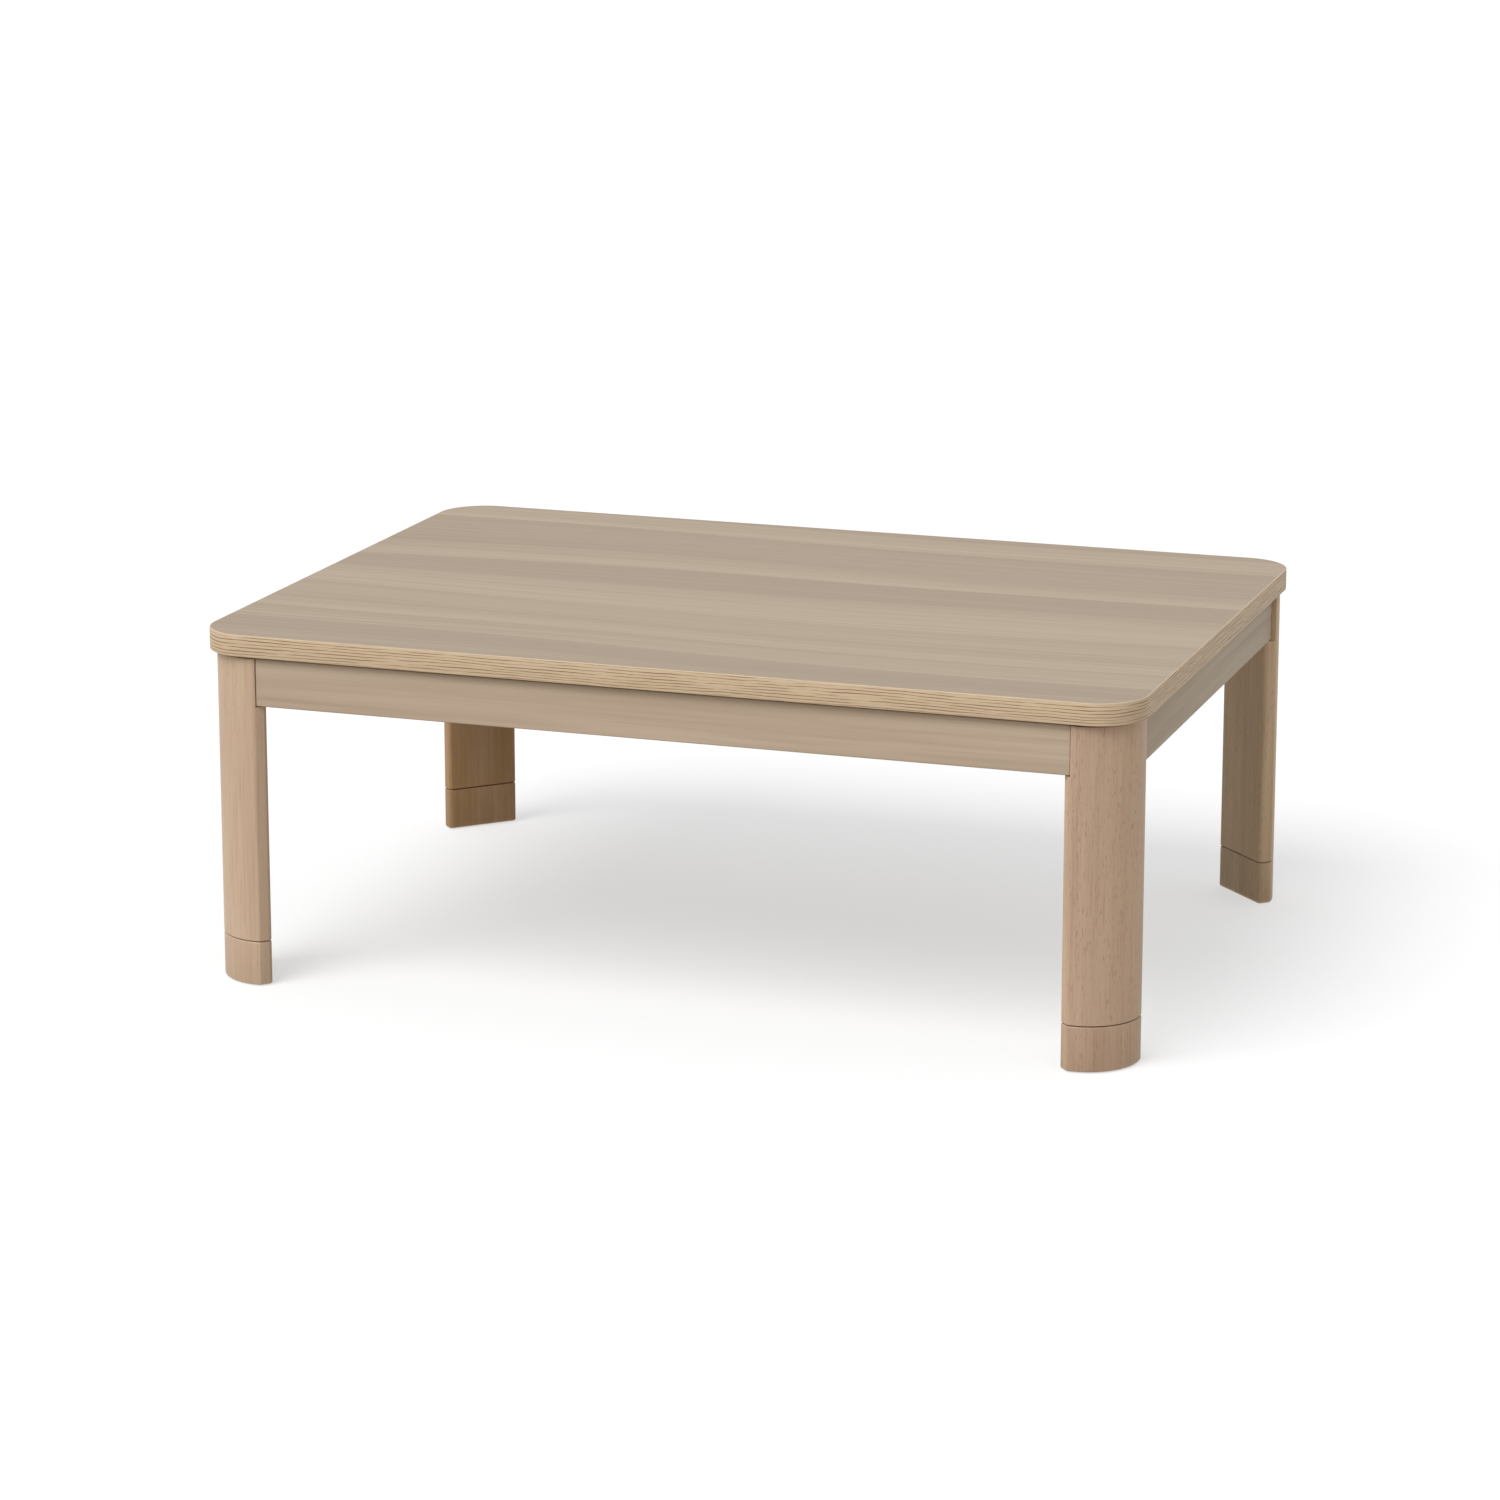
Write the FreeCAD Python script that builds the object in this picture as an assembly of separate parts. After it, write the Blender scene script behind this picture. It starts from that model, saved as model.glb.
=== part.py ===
"""Heated low table (kotatsu) with a lift-off top, notched quarter-round legs, pull-off height feet
and an electric heater hung in the middle of its frame.

Lengths are in millimetres. +X runs along the long side, +Y to the back, +Z up.
The origin is the middle of the footprint on the floor.
"""

import FreeCAD
import Part

import math
import os

Vector = FreeCAD.Vector
UP = Vector(0, 0, 1)
DOWN = Vector(0, 0, -1)
ALONG_X = Vector(1, 0, 0)
ALONG_Y = Vector(0, 1, 0)
ROOT2 = math.sqrt(2)
CORNERS = {"front_left": (-1, -1), "front_right": (1, -1), "back_left": (-1, 1), "back_right": (1, 1)}
SIDES = (-1, 1)
CUT_OVERRUN = 5.0
SAME_PLACE = 0.01

# Tabletop: a board with a printed sheet on each face and a tape round its edge
TOP_LENGTH = 1050.0
TOP_WIDTH = 750.0
TOP_THICKNESS = 24.0
TOP_CORNER_RADIUS = 55.0
SHEET_THICKNESS = 0.6
BAND_THICKNESS = 1.2
BAND_ROUND = 0.8

# Height stack under the top
FOOT_LIFT = 50.0
LEG_LENGTH = 318.5
BUMPER_HEIGHT = 2.5
FRAME_TOP = FOOT_LIFT + LEG_LENGTH
TOP_UNDERSIDE = FRAME_TOP + BUMPER_HEIGHT
TABLE_HEIGHT = TOP_UNDERSIDE + TOP_THICKNESS

# Leg section: a quarter-round face outside, a flat face inside, set across each corner
LEG_OVERHANG = 5.0
LEG_ARC_RADIUS = 58.0
LEG_WIDTH = 89.5
LEG_DEPTH = 36.5
LEG_INNER_ROUND = 5.0
LEG_OUTER_ROUND = 4.5
LEG_END_CHAMFER = 1.6
UPRIGHT_ROUND_LIMIT_SHARE = 0.42
END_ROUND_LIMIT_SHARE = 0.85

# Aprons, housed in notches at the top of the legs
APRON_HEIGHT = 53.0
LONG_APRON_SETBACK = 7.5
SHORT_APRON_SETBACK = 11.5
SHORT_APRON_THICKNESS = 18.0
APRON_ROUND = 1.5
APRON_END_GAP = 0.5
NOTCH_OUTSET = 1.1
NOTCH_GAP = 1.2

# Anti-slip bumpers on the aprons
BUMPER_RADIUS = 6.5
BUMPER_SPREAD_SHARE = 0.78

# Corner brackets, their screws and the hanger bolts that hold the legs
BRACKET_THICKNESS = 2.0
BRACKET_HEIGHT = 46.0
BRACKET_HOLE_CLEARANCE = 0.3
SCREW_RADIUS = 2.0
SCREW_GRIP = 13.0
SCREW_HEAD_RADIUS = 4.0
SCREW_HEAD_HEIGHT = 2.4
SCREW_EDGE = 9.0
SCREW_PITCH = 15.0
SCREW_ROW_PITCH = 26.0
CROSS_SLOT_LENGTH = 4.4
CROSS_SLOT_WIDTH = 0.9
CROSS_SLOT_DEPTH = 1.3
HANGER_RADIUS = 4.0
HANGER_GRIP = 24.0
HANGER_TIP = 6.0
HANGER_SPACING = 25.0
WASHER_RADIUS = 8.5
WASHER_THICKNESS = 1.6
NUT_ACROSS_FLATS = 13.0
NUT_HEIGHT = 6.5
NUT_CHAMFER = 1.0

# Height feet: a block of the leg's section, a bolt from below and two dowels
GLIDE_THICKNESS = 1.0
GLIDE_MARGIN = 6.0
FOOT_TOP_ROUND = 1.8
FOOT_BOTTOM_ROUND = 1.6
FOOT_FIXING_DEPTH = 20.0
FOOT_BOLT_RADIUS = 4.0
FOOT_BOLT_CLEARANCE = 0.3
FOOT_BOLT_REACH = 20.0
FOOT_BOLT_HEAD_RADIUS = 6.5
FOOT_BOLT_HEAD_HEIGHT = 8.0
FOOT_BOLT_SOCKET_RADIUS = 3.4
FOOT_BOLT_SOCKET_DEPTH = 4.0
COUNTERBORE_RADIUS = 8.0
COUNTERBORE_DEPTH = 14.0
INSERT_RADIUS = 6.0
INSERT_LENGTH = 22.0
HOLE_SPARE = 3.0
DOWEL_RADIUS = 4.0
DOWEL_LENGTH = 30.0
DOWEL_SPREAD = 25.0
DOWEL_CLEARANCE = 0.3

# Rails that carry the heater and the middle of the top
RAIL_WIDTH = 45.0
RAIL_THICKNESS = 20.0
HEATER_OPENING_WIDTH = 270.0
RAIL_DOWEL_RADIUS = 4.0
RAIL_DOWEL_LENGTH = 26.0
RAIL_DOWEL_SPREAD = 12.0

# Heater case: steel housing above, bezel below, reflector between
HOUSING_CLEARANCE = 5.0
HOUSING_CORNER_RADIUS = 10.0
HOUSING_RISE = 17.0
HOUSING_SHEET = 0.8
VENT_LENGTH = 38.0
VENT_WIDTH = 3.0
VENT_PITCH = 9.0
VENT_COUNT = 7
VENT_OFFSET = 78.0
BEZEL_OVERLAP = 15.0
BEZEL_CORNER_RADIUS = 14.0
BEZEL_HEIGHT = 30.0
BEZEL_WALL = 1.6
BEZEL_LIP = 22.0
BOSS_RADIUS = 5.5
BOSS_RECESS_RADIUS = 4.6
BOSS_HOLE_CLEARANCE = 0.3
BOSS_SEAT = 4.0
BOSS_CORNER_INSET = 40.0
HEATER_SCREW_GRIP = 14.0
REFLECTOR_SHEET = 0.6
REFLECTOR_RIM = 7.0
REFLECTOR_SLOPE = 17.0
REFLECTOR_CORNER_RADIUS = 12.0
REFLECTOR_TOP_GAP = 1.2
GUARD_FRAME_RADIUS = 1.5
GUARD_WIRE_RADIUS = 1.0
GUARD_WELD_GAP = 0.05
GUARD_WIRE_PITCH = 15.0
GUARD_CROSS_COUNT = 3
GUARD_MARGIN = 5.0
GUARD_CORNER_RADIUS = 10.0

# Quartz tubes with their coils, ceramic caps and hangers
TUBE_RADIUS = 6.0
TUBE_WALL = 1.0
TUBE_END_ROOM = 10.0
TUBE_SPREAD = 70.0
TUBE_DROP = 12.0
CAP_RADIUS = 8.0
CAP_LENGTH = 16.0
CAP_OVERLAP = 10.0
COIL_RADIUS = 3.4
COIL_TAIL_RADIUS = 1.0
COIL_MARGIN = 14.0
HOLDER_SHEET = 1.2
HOLDER_TAB = 9.0
HOLDER_SIDE = 3.0
HOLDER_FOOT = 1.2

# Fan: motor on the reflector, wheel under it
MOTOR_RADIUS = 22.0
MOTOR_HEIGHT = 15.0
MOTOR_ROUND = 2.0
MOTOR_BOSS_RADIUS = 5.0
SHAFT_RADIUS = 1.5
SHAFT_CLEARANCE = 0.06
SHAFT_GRIP = 11.0
BOSS_PASS_CLEARANCE = 1.0
WHEEL_RADIUS = 42.0
WHEEL_GAP = 3.0
WHEEL_DISC = 1.2
WHEEL_BLADE_HEIGHT = 11.0
WHEEL_BLADE_THICKNESS = 1.2
WHEEL_BLADE_ROOT = 15.0
WHEEL_BLADE_COUNT = 11
WHEEL_BLADE_LEAN_DEG = 32.0
WHEEL_HUB_RADIUS = 7.0
WHEEL_HUB_HEIGHT = 9.0

# Controls on top of the reflector
TERMINAL_LENGTH = 34.0
TERMINAL_WIDTH = 16.0
TERMINAL_HEIGHT = 11.0
TERMINAL_X = 82.0
TERMINAL_SCREW_RADIUS = 2.4
TERMINAL_SCREW_PITCH = 8.0
TERMINAL_SCREW_HEIGHT = 2.2
TERMINAL_WELL_DEPTH = 3.0
TERMINAL_SCREW_COUNT = 4
THERMOSTAT_RADIUS = 9.0
THERMOSTAT_HEIGHT = 8.0
THERMOSTAT_PLATE = 26.0
THERMOSTAT_PLATE_THICKNESS = 1.2
THERMOSTAT_X = 48.0
THERMOSTAT_Y = -62.0
THERMOSTAT_TAB_PITCH = 10.0
FUSE_RADIUS = 2.4
FUSE_LENGTH = 15.0
FUSE_CLIP_WIDTH = 5.0
FUSE_CLIP_SHEET = 0.8
FUSE_X = -20.0
FUSE_Y = -78.0

# Power inlet in the right wall of the bezel
INLET_WIDTH = 34.0
INLET_HEIGHT = 15.0
INLET_DEPTH = 18.0
INLET_FLANGE = 3.0
INLET_FLANGE_THICKNESS = 1.6
INLET_TOP_GAP = 5.0
INLET_RECESS_WIDTH = 27.0
INLET_RECESS_HEIGHT = 10.0
INLET_RECESS_DEPTH = 14.0
PIN_RADIUS = 2.0
PIN_LENGTH = 11.0
PIN_PITCH = 13.0
PIN_ROOT = 2.0

# Insulated leads inside the heater
LEAD_RADIUS = 1.1
LEAD_END_GAP = 0.3
LEAD_HOLE_CLEARANCE = 0.6
LEAD_LOW = 3.0
LEAD_HIGH = 10.0
LEAD_HUMP = 13.0
LEAD_STUB = 8.0
LEAD_RISE = 5.5
LEAD_BEND_SHARE = 0.45

# Worked-out places of the leg section, measured along the diagonal from the top's square corner
ARC_CENTRE = (LEG_OVERHANG + LEG_ARC_RADIUS) * ROOT2
APEX = ARC_CENTRE - LEG_ARC_RADIUS
HALF_LEG = LEG_WIDTH / 2
ARRIS = ARC_CENTRE - math.sqrt(LEG_ARC_RADIUS**2 - HALF_LEG**2)
INNER_FLAT = APEX + LEG_DEPTH
END_FACE = INNER_FLAT - ARRIS
INNER_ROUND = min(LEG_INNER_ROUND, END_FACE * UPRIGHT_ROUND_LIMIT_SHARE)
OUTER_ROUND = min(LEG_OUTER_ROUND, END_FACE * UPRIGHT_ROUND_LIMIT_SHARE)
END_ROUND_LIMIT = min(INNER_ROUND, OUTER_ROUND) * END_ROUND_LIMIT_SHARE

# Worked-out places of the frame, measured square in from the top's edges
NOTCH_FACE = (ARRIS + HALF_LEG) / ROOT2 + NOTCH_OUTSET
APRON_END = NOTCH_FACE + APRON_END_GAP
APRON_INNER = SHORT_APRON_SETBACK + SHORT_APRON_THICKNESS
APRON_BOTTOM = FRAME_TOP - APRON_HEIGHT
APRON_MIDDLE = FRAME_TOP - APRON_HEIGHT / 2
NOTCH_FLOOR = APRON_BOTTOM - NOTCH_GAP
BEND_OUTER = INNER_FLAT * ROOT2 - APRON_INNER
BEND_INNER = (INNER_FLAT + BRACKET_THICKNESS) * ROOT2 - APRON_INNER - BRACKET_THICKNESS
SCREW_START = max(APRON_END, BEND_INNER) + SCREW_EDGE
FLANGE_END = SCREW_START + SCREW_PITCH + SCREW_EDGE

# Worked-out sizes and levels of the heater
HOUSING_WIDTH = HEATER_OPENING_WIDTH - 2 * HOUSING_CLEARANCE
BEZEL_WIDTH = HEATER_OPENING_WIDTH + 2 * BEZEL_OVERLAP
RAIL_BOTTOM = FRAME_TOP - RAIL_THICKNESS
HOUSING_TOP = RAIL_BOTTOM + HOUSING_RISE
FLANGE_BOTTOM = RAIL_BOTTOM - HOUSING_SHEET
BEZEL_BOTTOM = FLANGE_BOTTOM - BEZEL_HEIGHT
LIP_TOP = BEZEL_BOTTOM + BEZEL_WALL
GUARD_LEVEL = LIP_TOP + GUARD_FRAME_RADIUS
RIM_BOTTOM = GUARD_LEVEL + GUARD_FRAME_RADIUS
PLATE_TOP = FLANGE_BOTTOM - REFLECTOR_TOP_GAP
PLATE_BOTTOM = PLATE_TOP - REFLECTOR_SHEET
TUBE_LEVEL = PLATE_BOTTOM - TUBE_DROP
MOUTH_HALF = BEZEL_WIDTH / 2 - BEZEL_LIP
PLATE_HALF = MOUTH_HALF - REFLECTOR_SLOPE
CAP_END = PLATE_HALF - TUBE_END_ROOM
CAP_MIDDLE = CAP_END - CAP_LENGTH / 2
TUBE_LENGTH = 2 * (CAP_END - CAP_LENGTH + CAP_OVERLAP)
WHEEL_TOP = PLATE_BOTTOM - WHEEL_GAP
INLET_TOP = FLANGE_BOTTOM - INLET_TOP_GAP
INLET_BOTTOM = INLET_TOP - INLET_HEIGHT
INLET_MIDDLE = INLET_TOP - INLET_HEIGHT / 2
INLET_MOUTH = BEZEL_WIDTH / 2 + INLET_FLANGE_THICKNESS


def box(x0, x1, y0, y1, z0, z1):
    """A box between two corners, given in any order."""
    low = Vector(min(x0, x1), min(y0, y1), min(z0, z1))
    return Part.makeBox(abs(x1 - x0), abs(y1 - y0), abs(z1 - z0), low)


def rod(radius, start, direction, length):
    """A cylinder that starts at a point and runs along a direction."""
    return Part.makeCylinder(radius, length, start, direction)


def hole(radius, start, direction, length):
    """A cylinder to cut with: it runs past both ends of the stretch that it cuts."""
    return rod(radius, start - direction * CUT_OVERRUN, direction, length + 2 * CUT_OVERRUN)


def prism(points, sweep):
    """A prism over a flat polygon, given by its points, swept along a vector."""
    return Part.Face(Part.makePolygon(points + points[:1])).extrude(sweep)


def hexagon(centre, first, second):
    """Six points round a centre, with the corner radius in the two plane directions given."""
    turns = [math.radians(60 * step) for step in range(6)]
    return [centre + first * math.cos(turn) + second * math.sin(turn) for turn in turns]


def rounded_rectangle(half_x, half_y, radius, level):
    """A closed wire: a rectangle about the origin with round corners."""
    x_in, y_in = half_x - radius, half_y - radius
    bulge = radius / ROOT2
    edges = []
    corners = ((1, 1), (-1, 1), (-1, -1), (1, -1))
    for step, (sx, sy) in enumerate(corners):
        on_x = Vector(sx * half_x, sy * y_in, level)
        on_y = Vector(sx * x_in, sy * half_y, level)
        middle = Vector(sx * (x_in + bulge), sy * (y_in + bulge), level)
        start, end = (on_x, on_y) if step % 2 == 0 else (on_y, on_x)
        edges.append(Part.Arc(start, middle, end).toShape())
        next_x, next_y = corners[(step + 1) % 4]
        if step % 2 == 0:
            following = Vector(next_x * x_in, next_y * half_y, level)
        else:
            following = Vector(next_x * half_x, next_y * y_in, level)
        edges.append(Part.LineSegment(end, following).toShape())
    return Part.Wire(Part.__sortEdges__(edges))


def rounded_plate(half_x, half_y, radius, bottom, top):
    """A plate with round corners about the origin."""
    face = Part.Face(rounded_rectangle(half_x, half_y, radius, bottom))
    return face.extrude(Vector(0, 0, top - bottom))


def loop_edges(shape, level):
    """The edges of a shape that lie wholly at one height."""
    return [
        edge
        for edge in shape.Edges
        if edge.BoundBox.ZLength < SAME_PLACE and abs(edge.CenterOfMass.z - level) < SAME_PLACE
    ]


def outer_loop(shape, level):
    """The edges of the outer wire of a shape's flat face at one height."""
    flat = [
        face
        for face in shape.Faces
        if face.BoundBox.ZLength < SAME_PLACE and abs(face.CenterOfMass.z - level) < SAME_PLACE
    ]
    widest = max(flat, key=lambda face: face.Area)
    return widest.OuterWire.Edges


# Tabletop


def top_inner(bottom, top):
    """What lies inside the edge tape, between two heights."""
    half_x = TOP_LENGTH / 2 - BAND_THICKNESS
    half_y = TOP_WIDTH / 2 - BAND_THICKNESS
    return rounded_plate(half_x, half_y, TOP_CORNER_RADIUS - BAND_THICKNESS, bottom, top)


def edge_band():
    """The tape round the top's edge, with eased arrises."""
    whole = rounded_plate(TOP_LENGTH / 2, TOP_WIDTH / 2, TOP_CORNER_RADIUS, TOP_UNDERSIDE, TABLE_HEIGHT)
    arrises = loop_edges(whole, TOP_UNDERSIDE) + loop_edges(whole, TABLE_HEIGHT)
    eased = whole.makeFillet(BAND_ROUND, arrises)
    return eased.cut(top_inner(TOP_UNDERSIDE - CUT_OVERRUN, TABLE_HEIGHT + CUT_OVERRUN))


def tabletop_parts():
    """Board, upper sheet, lower sheet and edge tape."""
    upper = TABLE_HEIGHT - SHEET_THICKNESS
    lower = TOP_UNDERSIDE + SHEET_THICKNESS
    return {
        "top_board": top_inner(lower, upper),
        "top_sheet": top_inner(upper, TABLE_HEIGHT),
        "bottom_sheet": top_inner(TOP_UNDERSIDE, lower),
        "edge_band": edge_band(),
    }


# Corners: everything here is drawn once with X along the inward diagonal, then turned to each corner


def to_corner(shape, sx, sy):
    """Moves a shape from the diagonal frame to one corner of the top."""
    turned, angle = shape.copy(), math.degrees(math.atan2(-sy, -sx))
    turned.rotate(Vector(0, 0, 0), UP, angle)
    turned.translate(Vector(sx * TOP_LENGTH / 2, sy * TOP_WIDTH / 2, 0))
    return turned


def square_in(along, inward, level, side):
    """A point in the diagonal frame, given along one edge of the top and square in from it."""
    return Vector((along + inward) / ROOT2, side * (along - inward) / ROOT2, level)


def inward_direction(side):
    """The direction square in from the edge on one side, in the diagonal frame."""
    return Vector(1, -side, 0).normalize()


def leg_section(level):
    """The leg's outline before its vertical edges are rounded."""
    apex = Vector(APEX, 0, level)
    left, right = Vector(ARRIS, -HALF_LEG, level), Vector(ARRIS, HALF_LEG, level)
    back_left, back_right = Vector(INNER_FLAT, -HALF_LEG, level), Vector(INNER_FLAT, HALF_LEG, level)
    edges = [
        Part.Arc(left, apex, right).toShape(),
        Part.LineSegment(right, back_right).toShape(),
        Part.LineSegment(back_right, back_left).toShape(),
        Part.LineSegment(back_left, left).toShape(),
    ]
    return Part.Face(Part.Wire(edges))


def vertical_edges(shape, depth):
    """The upright edges of a bar of leg section that stand at one depth along the diagonal."""
    return [
        edge
        for edge in shape.Edges
        if edge.BoundBox.XLength < SAME_PLACE
        and edge.BoundBox.YLength < SAME_PLACE
        and abs(edge.CenterOfMass.x - depth) < SAME_PLACE
    ]


def leg_bar(bottom, top):
    """A bar of leg section with its four upright edges rounded."""
    bar = leg_section(bottom).extrude(Vector(0, 0, top - bottom))
    bar = bar.makeFillet(INNER_ROUND, vertical_edges(bar, INNER_FLAT))
    return bar.makeFillet(OUTER_ROUND, vertical_edges(bar, ARRIS))


def notch(side):
    """The room that an apron's end takes out of the top of a leg."""
    reach = LEG_WIDTH + LEG_DEPTH
    points = [
        square_in(NOTCH_FACE, -reach, NOTCH_FLOOR, side),
        square_in(NOTCH_FACE + reach, -reach, NOTCH_FLOOR, side),
        square_in(NOTCH_FACE + reach, reach, NOTCH_FLOOR, side),
        square_in(NOTCH_FACE, reach, NOTCH_FLOOR, side),
    ]
    return prism(points, UP * (FRAME_TOP - NOTCH_FLOOR + CUT_OVERRUN))


def fixing_places():
    """Where the bolt and the two dowels of a foot stand, in the diagonal frame."""
    depth = APEX + FOOT_FIXING_DEPTH
    return Vector(depth, 0, 0), [Vector(depth, side * DOWEL_SPREAD, 0) for side in SIDES]


def hanger_levels():
    """Heights of the two hanger bolts of a leg."""
    return [APRON_MIDDLE + side * HANGER_SPACING / 2 for side in SIDES]


def leg():
    """A leg, notched for the aprons and drilled for its bolts, insert and dowels."""
    bar = leg_bar(FOOT_LIFT, FRAME_TOP)
    bar = bar.makeChamfer(min(LEG_END_CHAMFER, END_ROUND_LIMIT), outer_loop(bar, FOOT_LIFT))
    cuts = [notch(side) for side in SIDES]
    for level in hanger_levels():
        start = Vector(INNER_FLAT - HANGER_GRIP, 0, level)
        cuts.append(rod(HANGER_RADIUS, start, ALONG_X, HANGER_GRIP + CUT_OVERRUN))
    bolt, dowels = fixing_places()
    foot_top = UP * FOOT_LIFT
    cuts.append(rod(INSERT_RADIUS, bolt + foot_top, UP, INSERT_LENGTH))
    free_hole = max(FOOT_BOLT_REACH, INSERT_LENGTH) + HOLE_SPARE
    cuts.append(rod(FOOT_BOLT_RADIUS + FOOT_BOLT_CLEARANCE, bolt + foot_top, UP, free_hole))
    for place in dowels:
        depth = DOWEL_LENGTH / 2 + HOLE_SPARE
        cuts.append(rod(DOWEL_RADIUS + DOWEL_CLEARANCE, place + foot_top, UP, depth))
    return bar.cut(cuts)


def leg_insert():
    """The threaded insert in the foot of a leg, drawn plain."""
    bolt, _ = fixing_places()
    start = bolt + UP * FOOT_LIFT
    sleeve = rod(INSERT_RADIUS, start, UP, INSERT_LENGTH)
    return sleeve.cut(hole(FOOT_BOLT_RADIUS + FOOT_BOLT_CLEARANCE, start, UP, INSERT_LENGTH))


def corner_bracket():
    """A steel strap bent across the corner, drilled for the hanger bolts and the screws."""
    near, far = SIDES
    flat, raised = APRON_INNER, APRON_INNER + BRACKET_THICKNESS
    bottom = APRON_MIDDLE - BRACKET_HEIGHT / 2
    points = [
        square_in(BEND_OUTER, flat, bottom, near),
        square_in(FLANGE_END, flat, bottom, near),
        square_in(FLANGE_END, raised, bottom, near),
        square_in(BEND_INNER, raised, bottom, near),
        square_in(BEND_INNER, raised, bottom, far),
        square_in(FLANGE_END, raised, bottom, far),
        square_in(FLANGE_END, flat, bottom, far),
        square_in(BEND_OUTER, flat, bottom, far),
    ]
    cuts = []
    for level in hanger_levels():
        start = Vector(INNER_FLAT, 0, level)
        cuts.append(hole(HANGER_RADIUS + BRACKET_HOLE_CLEARANCE, start, ALONG_X, BRACKET_THICKNESS))
    for seat, inward in screw_seats():
        cuts.append(hole(SCREW_RADIUS + BRACKET_HOLE_CLEARANCE, seat, -inward, BRACKET_THICKNESS))
    return prism(points, UP * BRACKET_HEIGHT).cut(cuts)


def screw_seats():
    """Where the bracket's screw heads sit, with the direction in which they face."""
    seats = []
    for side in SIDES:
        for along in (SCREW_START, SCREW_START + SCREW_PITCH):
            for row in SIDES:
                level = APRON_MIDDLE + row * SCREW_ROW_PITCH / 2
                place = square_in(along, APRON_INNER + BRACKET_THICKNESS, level, side)
                seats.append((place, inward_direction(side)))
    return seats


def pan_screw(seat, facing, grip):
    """A cross-slotted pan-head screw: its head stands on the seat, its shank goes grip deep under it."""
    head = rod(SCREW_HEAD_RADIUS, seat, facing, SCREW_HEAD_HEIGHT)
    crown = seat + facing * SCREW_HEAD_HEIGHT
    rim = [edge for edge in head.Edges if edge.CenterOfMass.distanceToPoint(crown) < SAME_PLACE]
    head = head.makeFillet(SCREW_HEAD_HEIGHT / 2, rim)
    screw = head.fuse(rod(SCREW_RADIUS, seat - facing * grip, facing, grip))
    along = facing.cross(UP) if facing.z == 0 else ALONG_X
    slots = [slot_bar(seat, facing, along, across) for across in (along, facing.cross(along))]
    return screw.cut(slots)


def slot_bar(seat, facing, along, across):
    """One bar of the cross slot in a screw head."""
    other = facing.cross(across)
    floor = seat + facing * (SCREW_HEAD_HEIGHT - CROSS_SLOT_DEPTH)
    half, thin = across * (CROSS_SLOT_LENGTH / 2), other * (CROSS_SLOT_WIDTH / 2)
    points = [floor - half - thin, floor + half - thin, floor + half + thin, floor - half + thin]
    return prism(points, facing * (CROSS_SLOT_DEPTH + CUT_OVERRUN))


def bracket_screws():
    """The eight screws of one bracket."""
    grip = SCREW_GRIP + BRACKET_THICKNESS
    return [pan_screw(seat, facing, grip) for seat, facing in screw_seats()]


def screw_pilots():
    """The holes that one bracket's screws make in the aprons."""
    deepest = SCREW_GRIP + BRACKET_THICKNESS
    length = SCREW_GRIP + CUT_OVERRUN
    return [rod(SCREW_RADIUS, seat - facing * deepest, facing, length) for seat, facing in screw_seats()]


def hanger_bolts():
    """The two studs that stand out of a leg through the bracket."""
    length = HANGER_GRIP + BRACKET_THICKNESS + WASHER_THICKNESS + NUT_HEIGHT + HANGER_TIP
    starts = [Vector(INNER_FLAT - HANGER_GRIP, 0, level) for level in hanger_levels()]
    return [rod(HANGER_RADIUS, start, ALONG_X, length) for start in starts]


def hexagon_nut(place):
    """A chamfered hexagon nut whose axis is X, with its seat at a place."""
    corner = NUT_ACROSS_FLATS / math.sqrt(3)
    block = prism(hexagon(place, ALONG_Y * corner, UP * corner), ALONG_X * NUT_HEIGHT)
    barrel = rod(corner, place, ALONG_X, NUT_HEIGHT)
    ends = [edge for edge in barrel.Edges if edge.BoundBox.XLength < SAME_PLACE]
    barrel = barrel.makeChamfer(min(NUT_CHAMFER, NUT_HEIGHT / 3), ends)
    return block.common(barrel).cut(hole(HANGER_RADIUS, place, ALONG_X, NUT_HEIGHT))


def nuts_and_washers():
    """A washer and a nut on each hanger bolt of one leg."""
    made = []
    for level in hanger_levels():
        seat = Vector(INNER_FLAT + BRACKET_THICKNESS, 0, level)
        washer = rod(WASHER_RADIUS, seat, ALONG_X, WASHER_THICKNESS)
        made.append(washer.cut(hole(HANGER_RADIUS, seat, ALONG_X, WASHER_THICKNESS)))
        made.append(hexagon_nut(seat + ALONG_X * WASHER_THICKNESS))
    return made


# Height feet


def foot_block():
    """The wooden block of a foot, with eased ends, a stepped bolt hole and two dowel holes."""
    block = leg_bar(GLIDE_THICKNESS, FOOT_LIFT)
    block = block.makeFillet(min(FOOT_TOP_ROUND, END_ROUND_LIMIT), outer_loop(block, FOOT_LIFT))
    block = block.makeFillet(min(FOOT_BOTTOM_ROUND, END_ROUND_LIMIT), outer_loop(block, GLIDE_THICKNESS))
    bolt, _ = fixing_places()
    base = bolt + UP * GLIDE_THICKNESS
    mouth = base + DOWN * CUT_OVERRUN
    cuts = [
        rod(COUNTERBORE_RADIUS, mouth, UP, COUNTERBORE_DEPTH + CUT_OVERRUN),
        hole(FOOT_BOLT_RADIUS, base, UP, FOOT_LIFT),
    ]
    return block.cut(cuts + foot_dowels())


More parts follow.
